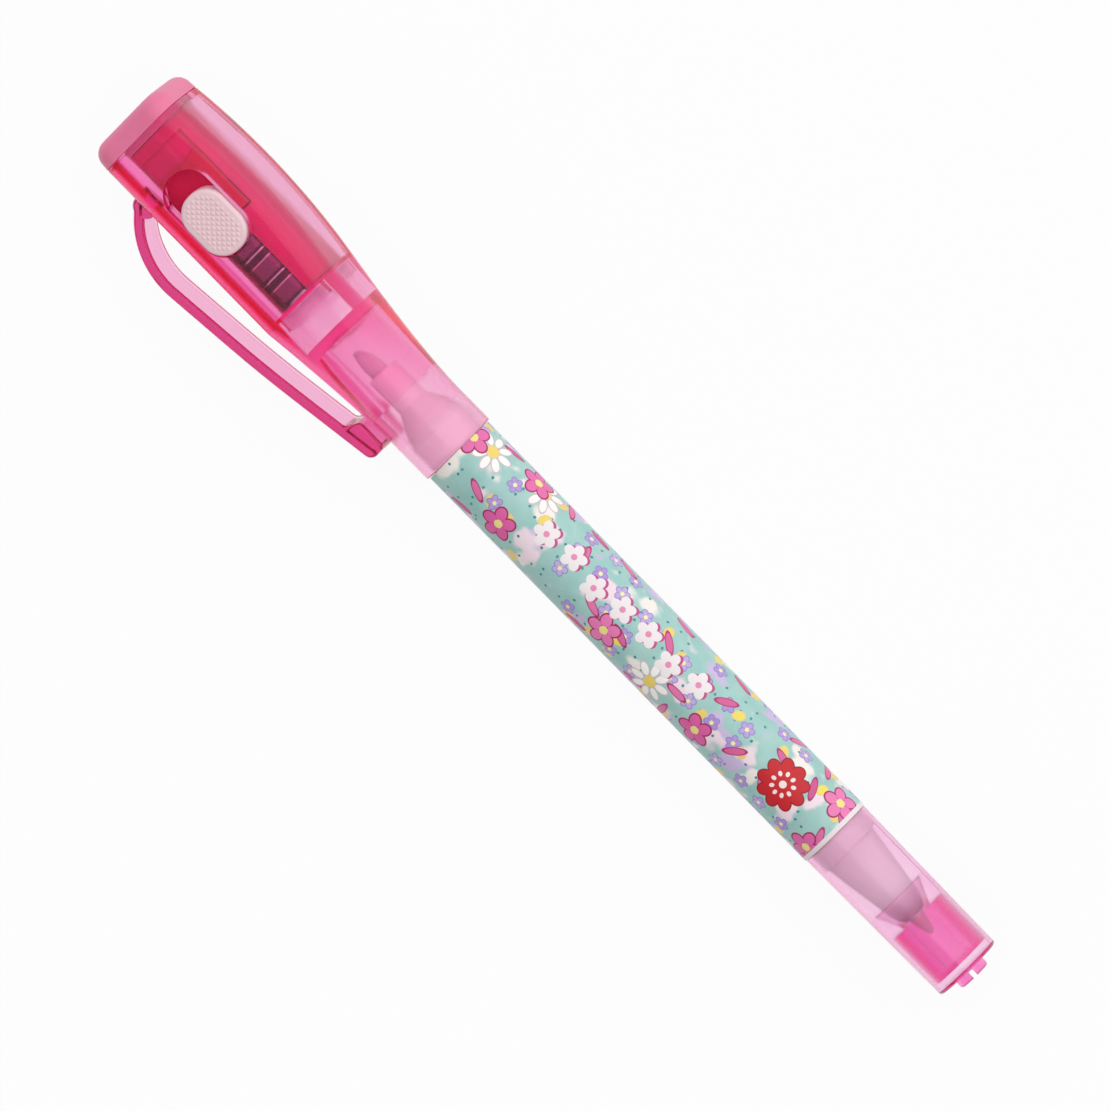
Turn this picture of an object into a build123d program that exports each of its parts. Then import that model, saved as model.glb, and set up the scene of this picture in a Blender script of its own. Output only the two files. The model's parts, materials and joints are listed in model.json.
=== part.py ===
"""Two-ended pen: felt marker with invisible ink, ballpoint, and a torch in the marker's cap.

Millimetres. The pen lies along X, from the torch at -X to the ballpoint at +X. The pocket clip is
towards -Y and the torch's switch faces +Z. The origin is on the pen's axis, at the middle of the
printed barrel.
"""

import os
from math import cos, radians, sin, tan

from build123d import *

os.makedirs("parts", exist_ok=True)

# Fits
running_fit = 0.05
glued_fit = 0.02
seat_gap = 0.1

# Printed barrel
film_length = 64.2
film_thickness = 0.2
barrel_diameter = 9.4
barrel_wall = 0.8

# Felt nib and its holder
nib_diameter = 2.2
nib_exposed = 4.0
nib_tip_length = 2.8
nib_point_diameter = 0.7
nib_depth = 6.0
holder_plug_length = 8.0
holder_seat_diameter = 8.2
holder_seat_length = 3.6
holder_neck_diameter = 6.9
holder_neck_length = 2.0
holder_cone_length = 2.5
holder_tube_diameter = 4.2
holder_tube_length = 5.3

# Ink reservoir of the marker
reservoir_diameter = 6.4
wrap_thickness = 0.3
divider_thickness = 1.5

# Nose cone of the ballpoint end
nose_flange_length = 0.6
nose_plug_length = 10.0
nose_seat_diameter = 8.2
nose_seat_length = 2.6
nose_step = 0.35
nose_cone_length = 9.1
nose_cone_diameter = 4.8
nose_end_length = 2.1
nose_end_diameter = 2.8
nose_lip_length = 2.5

# Ballpoint refill
refill_diameter = 3.0
refill_wall = 0.5
refill_length = 38.0
ink_length = 24.0
follower_length = 3.0
adapter_plug_length = 4.0
adapter_collar_length = 1.5
shank_diameter = 1.1
shank_length = 4.0
tip_diameter = 2.0
tip_body_length = 2.9
tip_cone_length = 2.3
tip_lip_diameter = 0.84
ball_diameter = 0.7
ball_fit = 0.02
ball_lip_reach = 0.18
ink_channel_diameter = 0.4

# Tail cap
tail_wall = 0.65
tail_draft = 0.22
tail_seat_depth = 10.6
tail_step = 0.15
tail_tip_room = 5.75
tail_end_wall = 0.45
tail_boss_diameter = 4.4
tail_boss_length = 1.2
tail_slot_width = 0.6
tail_slot_depth = 1.0
tail_slot_turn = -23.5
tail_vent_diameter = 1.0
tail_edge_radius = 0.4

# Liner that seals the ballpoint in the tail cap
liner_rim = 0.25
liner_lip = 0.4
liner_funnel_length = 3.4
liner_bore_diameter = 3.6
liner_end_wall = 0.5
liner_end_gap = 0.9

# Cap neck over the nib
nib_room = 2.95
partition_thickness = 0.75
partition_dome = 0.65
chamber_diameter = 6.6
middle_bore_diameter = 7.8
middle_bore_depth = 9.5
mouth_bore_depth = 4.7
sleeve_wall = 1.05
sleeve_length = 5.7
sleeve_flat = 0.1
neck_sections = 5
neck_ease = 1.5
socket_depth = 4.9
socket_wall = 2.2
spigot_wall = 0.6
spigot_length = 1.5
seam_wall = 0.5
mouth_edge_radius = 0.25

# Button cells and the carrier round them
cell_diameter = 7.9
cell_thickness = 3.6
cell_count = 3
cell_cap_diameter = 6.4
cell_cap_length = 0.4
cell_clearance = 0.1
carrier_wall = 0.5
carrier_clearance = 0.15
carrier_corner = 3.3
carrier_end_gap = 0.1
carrier_led_wall = 5.85
carrier_cell_wall = 0.9
chamber_length = 7.1
chamber_side_wall = 0.65
chamber_floor_depth = 2.2
window_width = 5.4
window_shift = -0.6
core_y = 0.7

# Metal strips
contact_thickness = 0.25
contact_width = 2.0
contact_plate_diameter = 6.8
contact_slot_gap = 0.1
front_arm_length = 4.6

# Lamp
led_diameter = 5.0
led_flange_diameter = 5.8
led_flange_length = 1.0
led_length = 8.6
led_clearance = 0.1
lead_thickness = 0.5
lead_pitch = 2.54
lead_length = 2.6

# Torch shell
shell_wall = 1.5
clip_side_wall = 1.65
crown_rise_front = 1.65
crown_rise_middle = 2.35
crown_rise_rear = 1.0
crown_middle = 11.5
crown_skin = 0.9
hollow_corner = 2.0
shell_edge_radius = 3.0
shell_rim_radius = 0.25

# Bezel
bezel_length = 2.8
bezel_spigot_length = 0.9
bezel_taper = 5.0
bezel_edge_radius = 1.9
bezel_hole_chamfer = 0.5

# Switch
button_length = 8.8
button_width = 6.4
button_corner = 3.0
button_proud = 0.7
button_edge_radius = 0.45
switch_travel = 2.9
slot_side_gap = 0.15
slot_end_gap = 0.3
slot_overhang = 1.8
slider_thickness = 1.3
slider_side_gap = 0.12
slider_end_gap = 0.2
shutter_thickness = 0.4
shutter_lap = 0.3
bridge_length = 3.4
bridge_inset = 0.2

# Pocket clip
clip_width = 5.6
clip_thickness = 1.4
clip_bead_diameter = 3.2
clip_bead_sunk = 1.2
clip_arm_inset = 0.15
clip_root_inset = 6.15
clip_root_angle = 49.0
clip_reach = 12.15
clip_bend_radius = 11.0
clip_slope = 5.4
clip_end_slope = 8.5
clip_first_run = 20.0
clip_second_run = 17.2
clip_sweep_radius = 180.0
clip_pad_length = 4.2
clip_pad_ramp = 0.9
clip_pad_gap = 0.45
clip_pad_radius = 0.8
clip_tip_radius = 1.1
clip_edge_radius = 0.5

# Places along the pen
barrel_front_x = -film_length / 2
barrel_rear_x = film_length / 2
holder_rear_x = barrel_front_x + holder_plug_length
holder_seat_x = barrel_front_x - holder_seat_length
holder_neck_x = holder_seat_x - holder_neck_length
holder_cone_x = holder_neck_x - holder_cone_length
holder_front_x = holder_cone_x - holder_tube_length
nib_tip_x = holder_front_x - nib_exposed
nose_front_x = barrel_rear_x + nose_flange_length
nose_seat_x = nose_front_x + nose_seat_length
nose_cone_x = nose_seat_x + nose_cone_length
nose_end_x = nose_cone_x + nose_end_length
nose_shoulder_x = nose_end_x - nose_lip_length
collar_front_x = nose_shoulder_x - seat_gap
collar_rear_x = collar_front_x - adapter_collar_length
refill_rear_x = collar_rear_x - refill_length
divider_front_x = refill_rear_x - divider_thickness
adapter_rear_x = collar_rear_x - adapter_plug_length
tip_shoulder_x = collar_front_x + nose_lip_length + seat_gap + tip_body_length - tip_cone_length
ball_x = tip_shoulder_x + tip_cone_length - ball_lip_reach

# Places along the two caps
cap_mouth_x = barrel_front_x - seat_gap
neck_round_x = cap_mouth_x - sleeve_length
dome_x = nib_tip_x - nib_room
socket_end_x = dome_x - partition_thickness
neck_front_x = socket_end_x - socket_depth
seam_x = neck_front_x - glued_fit
tail_mouth_x = nose_front_x + seat_gap
tail_step_x = tail_mouth_x + tail_seat_depth
tail_floor_x = ball_x + ball_diameter / 2 + tail_tip_room
tail_end_x = tail_floor_x + tail_end_wall

# Places along the torch
cavity_rear_x = seam_x - seam_wall
carrier_rear_x = cavity_rear_x - carrier_end_gap
cell_rear_x = carrier_rear_x - contact_thickness
cell_front_x = cell_rear_x - cell_count * cell_thickness
cell_bore_x = cell_front_x - contact_thickness
chamber_rear_x = cell_bore_x - carrier_cell_wall
chamber_front_x = chamber_rear_x - chamber_length
led_flange_x = chamber_front_x - led_flange_length
carrier_front_x = led_flange_x - carrier_led_wall
shell_front_x = carrier_front_x - carrier_end_gap - bezel_spigot_length
bezel_rear_x = shell_front_x - glued_fit
head_end_x = bezel_rear_x - bezel_length
slot_front_x = chamber_front_x - slot_overhang
slot_length = button_length + switch_travel + 2 * slot_end_gap
slot_middle_x = slot_front_x + slot_length / 2
button_middle_x = slot_front_x + slot_length - slot_end_gap - button_length / 2
lead_end_x = chamber_front_x + lead_length

# Radii of the pen
barrel_radius = barrel_diameter / 2
barrel_bore_radius = barrel_radius - barrel_wall
film_radius = barrel_radius + film_thickness
plug_radius = barrel_bore_radius - glued_fit
nib_radius = nib_diameter / 2
refill_radius = refill_diameter / 2
refill_bore_radius = refill_radius - refill_wall
ball_radius = ball_diameter / 2
socket_radius = ball_radius + ball_fit
tip_radius = tip_diameter / 2
nose_bore_radius = refill_radius + running_fit
sleeve_bore_radius = holder_seat_diameter / 2 + running_fit
sleeve_radius = sleeve_bore_radius + sleeve_wall
tail_seat_radius = nose_seat_diameter / 2 + running_fit
tail_mouth_radius = tail_seat_radius + tail_wall
tail_bore_radius = tail_seat_radius - tail_step
liner_radius = tail_bore_radius - glued_fit
tail_end_radius = tail_mouth_radius - tail_draft

# Section of the torch
carrier_size = cell_diameter + 2 * (cell_clearance + carrier_wall)
carrier_top_z = carrier_size / 2
cavity_size = carrier_size + 2 * carrier_clearance
cavity_corner = carrier_corner + carrier_clearance
cavity_top_z = cavity_size / 2
shell_top_z = cavity_top_z + shell_wall
head_side_y = core_y - cavity_size / 2 - clip_side_wall
crown_base_y = core_y + cavity_size / 2
head_front_y = crown_base_y + crown_rise_front
head_middle_y = crown_base_y + crown_rise_middle
head_rear_y = crown_base_y + crown_rise_rear
seam_width = head_rear_y - head_side_y
seam_middle_y = (head_rear_y + head_side_y) / 2
front_width = head_front_y - head_side_y
front_middle_y = (head_front_y + head_side_y) / 2
socket_corner = shell_edge_radius - socket_wall
spigot_corner = socket_corner - spigot_wall
cell_bore_radius = cell_diameter / 2 + cell_clearance
slider_top_z = cavity_top_z - seat_gap
lead_top_z = (lead_pitch + lead_thickness) / 2
slider_length = chamber_length - switch_travel - 2 * slider_end_gap
slider_rear_x = chamber_rear_x - slider_end_gap
slider_front_x = slider_rear_x - slider_length
slider_size = cavity_size - 2 * seat_gap
slider_corner = cavity_corner - seat_gap
slider_width = carrier_size - 2 * (chamber_side_wall + slider_side_gap)
shutter_front_x = slot_front_x - shutter_lap
recess_front_x = shutter_front_x - switch_travel - slider_end_gap
recess_size = slider_size - 2 * (shutter_thickness + seat_gap)
recess_corner = slider_corner - shutter_thickness - seat_gap
bead_x = shell_front_x + clip_root_inset
bead_radius = clip_bead_diameter / 2
bead_y = head_side_y + clip_bead_sunk - bead_radius


def neck_blend(share):
    """How far the neck's section has gone from the torch's outline to the round sleeve."""
    return 1 - (1 - share) ** neck_ease


def mix(start, end, share):
    """Value part of the way from start to end."""
    return start + (end - start) * share


def heading(turn):
    """Unit vector in the clip's plane, turned from +X."""
    return Vector(cos(turn), sin(turn))


def outward(turn):
    """Unit vector square to a heading, towards the clip's outer face."""
    return Vector(sin(turn), -cos(turn))


def arm_corner(point, turn_in, turn_out, offset):
    """Corner of the clip's outer or inner face, beside a corner of its middle line."""
    return point + outward((turn_in + turn_out) / 2) * (offset / cos((turn_out - turn_in) / 2))


def finish(part, name):
    """Label a finished piece and write it under its name."""
    part.label = name
    export_step(part, f"parts/{name}.step")


# Barrel tube
with BuildPart() as barrel:
    with BuildSketch(Plane.YZ.offset(barrel_front_x)):
        Circle(barrel_radius)
        Circle(barrel_bore_radius, mode=Mode.SUBTRACT)
    extrude(amount=film_length)
finish(barrel.part, "barrel")

# Printed film round the barrel
with BuildPart() as barrel_film:
    with BuildSketch(Plane.YZ.offset(barrel_front_x)):
        Circle(film_radius)
        Circle(barrel_radius, mode=Mode.SUBTRACT)
    extrude(amount=film_length)
finish(barrel_film.part, "barrel_film")

# Holder that carries the felt nib and the torch cap
with BuildPart() as nib_holder:
    with BuildSketch():
        with BuildLine():
            Polyline(
                (holder_rear_x, nib_radius + glued_fit),
                (holder_rear_x, plug_radius),
                (barrel_front_x, plug_radius),
                (barrel_front_x, holder_seat_diameter / 2),
                (holder_seat_x, holder_seat_diameter / 2),
                (holder_neck_x, holder_neck_diameter / 2),
                (holder_cone_x, holder_tube_diameter / 2),
                (holder_front_x, holder_tube_diameter / 2),
                (holder_front_x, nib_radius + glued_fit),
                close=True,
            )
        make_face()
    revolve(axis=Axis.X)
finish(nib_holder.part, "nib_holder")

# Felt nib with a bullet point
with BuildPart() as marker_nib:
    with BuildSketch():
        with BuildLine():
            nib_point = Line((nib_tip_x, 0), (nib_tip_x, nib_point_diameter / 2))
            nib_shoulder = (nib_tip_x + nib_tip_length, nib_radius)
            TangentArc(nib_shoulder, nib_point @ 1, tangent=(-1, 0))
            Polyline(
                nib_shoulder,
                (holder_rear_x + nib_depth, nib_radius),
                (holder_rear_x + nib_depth, 0),
                (nib_tip_x, 0),
            )
        make_face()
    revolve(axis=Axis.X)
finish(marker_nib.part, "marker_nib")

# Fibre rod that stores the invisible ink
with BuildPart() as ink_reservoir:
    with BuildSketch(Plane.YZ.offset(holder_rear_x)):
        Circle(reservoir_diameter / 2)
    extrude(amount=divider_front_x - holder_rear_x)
    with BuildSketch(Plane.YZ.offset(holder_rear_x)):
        Circle(nib_radius + glued_fit)
    extrude(amount=nib_depth + seat_gap, mode=Mode.SUBTRACT)
finish(ink_reservoir.part, "ink_reservoir")

# Film tube round the fibre rod
with BuildPart() as reservoir_wrap:
    with BuildSketch(Plane.YZ.offset(holder_rear_x)):
        Circle(reservoir_diameter / 2 + glued_fit + wrap_thickness)
        Circle(reservoir_diameter / 2 + glued_fit, mode=Mode.SUBTRACT)
    extrude(amount=divider_front_x - holder_rear_x)
finish(reservoir_wrap.part, "reservoir_wrap")

# Disc between the two inks
with BuildPart() as divider_plug:
    with BuildSketch(Plane.YZ.offset(divider_front_x)):
        Circle(plug_radius)
    extrude(amount=divider_thickness)
finish(divider_plug.part, "divider_plug")

# White cone of the ballpoint end
with BuildPart() as nose_cone:
    with BuildSketch():
        with BuildLine():
            Polyline(
                (nose_end_x, nose_end_diameter / 2),
                (nose_end_x, tip_radius + running_fit),
                (nose_shoulder_x, tip_radius + running_fit),
                (nose_shoulder_x, nose_bore_radius),
                (barrel_rear_x - nose_plug_length, nose_bore_radius),
                (barrel_rear_x - nose_plug_length, plug_radius),
                (barrel_rear_x, plug_radius),
                (barrel_rear_x, film_radius),
                (nose_front_x, film_radius),
                (nose_front_x, nose_seat_diameter / 2),
                (nose_seat_x, nose_seat_diameter / 2),
                (nose_seat_x, nose_seat_diameter / 2 - nose_step),
                (nose_cone_x, nose_cone_diameter / 2),
            )
            TangentArc(
                (nose_cone_x, nose_cone_diameter / 2),
                (nose_end_x, nose_end_diameter / 2),
                tangent=(nose_cone_length, nose_cone_diameter / 2 + nose_step - nose_seat_diameter / 2),
            )
        make_face()
    revolve(axis=Axis.X)
finish(nose_cone.part, "nose_cone")

# Refill tube
with BuildPart() as refill_tube:
    with BuildSketch(Plane.YZ.offset(refill_rear_x)):
        Circle(refill_radius)
        Circle(refill_bore_radius, mode=Mode.SUBTRACT)
    extrude(amount=refill_length)
finish(refill_tube.part, "refill_tube")

# Writing ink in the refill
with BuildPart() as refill_ink:
    with BuildSketch(Plane.YZ.offset(adapter_rear_x - ink_length)):
        Circle(refill_bore_radius - glued_fit)
    extrude(amount=ink_length)
finish(refill_ink.part, "refill_ink")

# Grease plug that follows the ink
with BuildPart() as refill_follower:
    with BuildSketch(Plane.YZ.offset(adapter_rear_x - ink_length - follower_length)):
        Circle(refill_bore_radius - glued_fit)
    extrude(amount=follower_length)
finish(refill_follower.part, "refill_follower")

# Collar that joins tube and tip
with BuildPart() as tip_adapter:
    with BuildSketch(Plane.YZ.offset(adapter_rear_x)):
        Circle(refill_bore_radius - glued_fit)
    extrude(amount=adapter_plug_length)
    with BuildSketch(Plane.YZ.offset(collar_rear_x)):
        Circle(refill_radius)
    extrude(amount=adapter_collar_length)
    with BuildSketch(Plane.YZ.offset(adapter_rear_x)):
        Circle(shank_diameter / 2 + glued_fit)
    extrude(amount=collar_front_x - adapter_rear_x, mode=Mode.SUBTRACT)
finish(tip_adapter.part, "tip_adapter")

# Metal point with its ink channel and the ball's socket
with BuildPart() as ballpoint_tip:
    with BuildSketch():
        with BuildLine():
            Polyline(
                (collar_front_x - shank_length, 0),
                (collar_front_x - shank_length, shank_diameter / 2),
                (collar_front_x, shank_diameter / 2),
                (collar_front_x, tip_radius),
                (tip_shoulder_x, tip_radius),
                (ball_x + ball_lip_reach, tip_lip_diameter / 2),
                (ball_x + ball_lip_reach, 0),
                close=True,
            )
        make_face()
    revolve(axis=Axis.X)
    with BuildSketch(Plane.YZ.offset(collar_front_x - shank_length)):
        Circle(ink_channel_diameter / 2)
    extrude(amount=ball_x - collar_front_x + shank_length, mode=Mode.SUBTRACT)
    with Locations((ball_x, 0, 0)):
        Sphere(socket_radius, mode=Mode.SUBTRACT)
finish(ballpoint_tip.part, "ballpoint_tip")

# Ball that rolls in the point
with BuildPart() as writing_ball:
    with Locations((ball_x, 0, 0)):
        Sphere(ball_radius)
finish(writing_ball.part, "writing_ball")

# Tail cap with a vented, slotted boss
with BuildPart() as tail_cap:
    with BuildSketch():
        with BuildLine():
            Polyline(
                (tail_mouth_x, tail_seat_radius),
                (tail_mouth_x, tail_mouth_radius),
                (tail_end_x, tail_end_radius),
                (tail_end_x, tail_boss_diameter / 2),
                (tail_end_x + tail_boss_length, tail_boss_diameter / 2),
                (tail_end_x + tail_boss_length, tail_vent_diameter / 2),
                (tail_floor_x, tail_vent_diameter / 2),
                (tail_floor_x, tail_bore_radius),
                (tail_step_x, tail_bore_radius),
                (tail_step_x, tail_seat_radius),
                close=True,
            )
        make_face()
    revolve(axis=Axis.X)
    tail_rims = tail_cap.edges().filter_by(GeomType.CIRCLE)
    fillet(tail_rims.filter_by(lambda rim: abs(rim.radius - tail_end_radius) < glued_fit), tail_edge_radius)
    boss_face = tail_cap.faces().sort_by(Axis.X)[-1]
    fillet(boss_face.outer_wire().edges(), tail_edge_radius)
    with BuildSketch(Plane.YZ.offset(tail_end_x + tail_boss_length)):
        Rectangle(tail_slot_width, tail_boss_diameter, rotation=tail_slot_turn)
    extrude(amount=-tail_slot_depth, mode=Mode.SUBTRACT)
finish(tail_cap.part, "tail_cap")

# Liner in the tail cap: a plug with a narrow chamber for the tip and a thin funnel lip before it
with BuildPart() as tail_liner:
    with BuildSketch():
        with BuildLine():
            liner_end_x = tail_floor_x - liner_end_gap
            Polyline(
                (tail_step_x, liner_radius - liner_rim - liner_lip),
                (tail_step_x, liner_radius - liner_rim),
                (tail_step_x + liner_funnel_length, liner_bore_diameter / 2 + liner_lip),
                (tail_step_x + liner_funnel_length, liner_radius),
                (liner_end_x, liner_radius),
                (liner_end_x, tail_vent_diameter / 2),
                (liner_end_x - liner_end_wall, tail_vent_diameter / 2),
                (liner_end_x - liner_end_wall, liner_bore_diameter / 2),
                (tail_step_x + liner_funnel_length, liner_bore_diameter / 2),
                close=True,
            )
        make_face()
    revolve(axis=Axis.X)
finish(tail_liner.part, "tail_liner")

# Neck of the torch cap: socket for the shell, partition, nib chamber and sleeve
with BuildPart() as cap_neck:
    for step in range(neck_sections):
        share = step / (neck_sections - 1)
        blend = neck_blend(share)
        half_height = mix(shell_top_z, sleeve_radius, blend)
        side_y = mix(head_side_y, -sleeve_radius, blend)
        crown_y = mix(head_rear_y, sleeve_radius, blend)
        corner = mix(shell_edge_radius, sleeve_radius - sleeve_flat, blend)
        with BuildSketch(Plane.YZ.offset(mix(neck_front_x, neck_round_x, share))):
            with Locations(((crown_y + side_y) / 2, 0)):
                RectangleRounded(crown_y - side_y, 2 * half_height, corner)
    loft()
    with BuildSketch(Plane.YZ.offset(neck_round_x)):
        RectangleRounded(2 * sleeve_radius, 2 * sleeve_radius, sleeve_radius - sleeve_flat)
    extrude(amount=sleeve_length)
    with BuildSketch(Plane.YZ.offset(neck_front_x)):
        with Locations((seam_middle_y, 0)):
            RectangleRounded(
                seam_width - 2 * socket_wall, 2 * (shell_top_z - socket_wall), socket_corner
            )
    extrude(amount=socket_depth, mode=Mode.SUBTRACT)
    with BuildSketch():
        with BuildLine():
            dome_edge = (dome_x + partition_dome, chamber_diameter / 2)
            TangentArc((dome_x, 0), dome_edge, tangent=(0, 1))
            Polyline(
                dome_edge,
                (cap_mouth_x - middle_bore_depth, chamber_diameter / 2),
                (cap_mouth_x - middle_bore_depth, middle_bore_diameter / 2),
                (cap_mouth_x - mouth_bore_depth, middle_bore_diameter / 2),
                (cap_mouth_x - mouth_bore_depth, sleeve_bore_radius),
                (cap_mouth_x, sleeve_bore_radius),
                (cap_mouth_x, 0),
                (dome_x, 0),
            )
        make_face()
    revolve(axis=Axis.X, mode=Mode.SUBTRACT)
    mouth_face = cap_neck.faces().sort_by(Axis.X)[-1]
    fillet(mouth_face.outer_wire().edges(), mouth_edge_radius)
finish(cap_neck.part, "cap_neck")

# Hollow under the crown, which leaves an even wall beside the carrier
with BuildPart() as crown_hollow:
    with BuildSketch():
        with BuildLine():
            Polyline(
                (shell_front_x, head_front_y - crown_skin),
                (shell_front_x, core_y),
                (seam_x, core_y),
                (seam_x, head_rear_y - crown_skin),
            )
            ThreePointArc(
                (shell_front_x, head_front_y - crown_skin),
                (shell_front_x + crown_middle, head_middle_y - crown_skin),
                (seam_x, head_rear_y - crown_skin),
            )
        make_face()
        with Locations(((carrier_front_x + carrier_rear_x) / 2, core_y)):
            Rectangle(carrier_rear_x - carrier_front_x, 2 * head_middle_y, mode=Mode.INTERSECT)
    extrude(amount=carrier_top_z, both=True)
    crown_edges = crown_hollow.edges().filter_by(lambda edge: edge.center().Y > crown_base_y)
    fillet(crown_edges.sort_by(Edge.length)[-2:], hollow_corner)

# Torch shell: crowned housing with spigot, switch slot and the clip's groove
with BuildPart() as torch_shell:
    with BuildSketch():
        with BuildLine():
            Polyline(
                (shell_front_x, head_front_y),
                (shell_front_x, head_side_y),
                (seam_x, head_side_y),
                (seam_x, head_rear_y),
            )
            ThreePointArc(
                (shell_front_x, head_front_y),
                (shell_front_x + crown_middle, head_middle_y),
                (seam_x, head_rear_y),
            )
        make_face()
    extrude(amount=shell_top_z, both=True)
    fillet(torch_shell.edges().sort_by(Edge.length)[-4:], shell_edge_radius)
    front_face = torch_shell.faces().sort_by(Axis.X)[0]
    fillet(front_face.outer_wire().edges(), shell_rim_radius)
    with BuildSketch(Plane.YZ.offset(seam_x)):
        with Locations((seam_middle_y, 0)):
            RectangleRounded(
                seam_width - 2 * (socket_wall + glued_fit),
                2 * (shell_top_z - socket_wall - glued_fit),
                socket_corner - glued_fit,
            )
            RectangleRounded(
                seam_width - 2 * (socket_wall + glued_fit + spigot_wall),
                2 * (shell_top_z - socket_wall - glued_fit - spigot_wall),
                spigot_corner,
                mode=Mode.SUBTRACT,
            )
    extrude(amount=spigot_length)
    with BuildSketch(Plane.YZ.offset(shell_front_x)):
        with Locations((core_y, 0)):
            RectangleRounded(cavity_size, cavity_size, cavity_corner)
    extrude(amount=cavity_rear_x - shell_front_x, mode=Mode.SUBTRACT)
    add(crown_hollow.part, mode=Mode.SUBTRACT)
    with BuildSketch(Plane.XY.offset(shell_top_z)):
        with Locations((slot_middle_x, core_y)):
            RectangleRounded(
                slot_length, button_width + 2 * slot_side_gap, button_corner + slot_side_gap
            )
    extrude(amount=-shell_top_z, mode=Mode.SUBTRACT)
    with BuildSketch():
        with Locations((bead_x, bead_y)):
            Circle(bead_radius + running_fit)
    extrude(amount=clip_width / 2 + seat_gap, both=True, mode=Mode.SUBTRACT)
finish(torch_shell.part, "torch_shell")

# Frosted bezel that closes the torch's end
with BuildPart() as bezel:
    with BuildSketch(Plane.YZ.offset(bezel_rear_x)):
        with Locations((front_middle_y, 0)):
            RectangleRounded(front_width, 2 * shell_top_z, shell_edge_radius)
    extrude(amount=-bezel_length, taper=bezel_taper)
    bezel_face = bezel.faces().sort_by(Axis.X)[0]
    fillet(bezel_face.outer_wire().edges(), bezel_edge_radius)
    with BuildSketch(Plane.YZ.offset(bezel_rear_x)):
        with Locations((core_y, 0)):
            RectangleRounded(
                cavity_size - 2 * glued_fit, cavity_size - 2 * glued_fit, cavity_corner - glued_fit
            )
    extrude(amount=bezel_spigot_length)
    with BuildSketch(Plane.YZ.offset(head_end_x)):
        with Locations((core_y, 0)):
            Circle(led_diameter / 2 + led_clearance)
    extrude(amount=bezel_length + bezel_spigot_length, mode=Mode.SUBTRACT)
    chamfer(bezel.faces().sort_by(Axis.X)[0].inner_wires().edges(), bezel_hole_chamfer)
finish(bezel.part, "bezel")

# Carrier for the lamp, the switch and the cells
with BuildPart() as cell_carrier:
    with BuildSketch(Plane.YZ.offset(carrier_front_x)):
        with Locations((core_y, 0)):
            RectangleRounded(carrier_size, carrier_size, carrier_corner)
    extrude(amount=carrier_rear_x - carrier_front_x)
    with BuildSketch(Plane.YZ.offset(carrier_front_x)):
        with Locations((core_y, 0)):
            Circle(led_diameter / 2 + led_clearance)
    extrude(amount=carrier_led_wall, mode=Mode.SUBTRACT)
    with BuildSketch(Plane.YZ.offset(led_flange_x)):
        with Locations((core_y, 0)):
            Circle(led_flange_diameter / 2 + led_clearance)
    extrude(amount=led_flange_length, mode=Mode.SUBTRACT)
    with BuildSketch(Plane.XY.offset(-chamber_floor_depth)):
        with Locations(((chamber_front_x + chamber_rear_x) / 2, core_y)):
            Rectangle(chamber_length, carrier_size - 2 * chamber_side_wall)
    extrude(amount=carrier_size, mode=Mode.SUBTRACT)
    with BuildSketch(Plane.YZ.offset(cell_bore_x)):
        with Locations((core_y, 0)):
            Circle(cell_bore_radius)
    extrude(amount=carrier_rear_x - cell_bore_x, mode=Mode.SUBTRACT)
    with BuildSketch(Plane.XY):
        with Locations(((cell_bore_x + carrier_rear_x) / 2, core_y + window_shift)):
            Rectangle(carrier_rear_x - cell_bore_x, window_width)
    extrude(amount=carrier_size, mode=Mode.SUBTRACT)
    # Shallow recess over the lamp for the switch's shutter
    with BuildSketch(Plane.YZ.offset(chamber_front_x)):
        with Locations((core_y, carrier_top_z / 2)):
            Rectangle(carrier_size - 2 * chamber_side_wall, carrier_top_z)
        with Locations((core_y, 0)):
            RectangleRounded(recess_size, recess_size, recess_corner, mode=Mode.SUBTRACT)
    extrude(amount=recess_front_x - chamber_front_x, mode=Mode.SUBTRACT)
    # Slot in the cell wall for the front contact's arm
    with BuildSketch(Plane.YZ.offset(chamber_rear_x)):
        with Locations((core_y, lead_top_z - contact_thickness / 2)):
            Rectangle(contact_width + 2 * contact_slot_gap, contact_thickness + 2 * contact_slot_gap)
    extrude(amount=carrier_cell_wall, mode=Mode.SUBTRACT)
    # Groove under the carrier for the rear contact's strip
    with BuildSketch(Plane.XY.offset(-carrier_top_z)):
        with Locations(((lead_end_x + carrier_rear_x) / 2, core_y)):
            Rectangle(carrier_rear_x - lead_end_x, contact_width + 2 * contact_slot_gap)
    extrude(amount=contact_thickness + contact_slot_gap, mode=Mode.SUBTRACT)
    # Slot in the chamber's floor for the rear contact's tab
    with BuildSketch(Plane.XY.offset(-carrier_top_z)):
        with Locations((lead_end_x + contact_thickness / 2, core_y)):
            Rectangle(contact_thickness + 2 * contact_slot_gap, contact_width + 2 * contact_slot_gap)
    extrude(amount=carrier_top_z, mode=Mode.SUBTRACT)
    # Gap beside the last cell for the rear contact's bend
    with BuildSketch(Plane.YZ.offset(cell_rear_x)):
        with Locations((core_y, -carrier_top_z / 2)):
            Rectangle(contact_width + 2 * contact_slot_gap, carrier_top_z)
    extrude(amount=contact_thickness, mode=Mode.SUBTRACT)
finish(cell_carrier.part, "cell_carrier")

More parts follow.
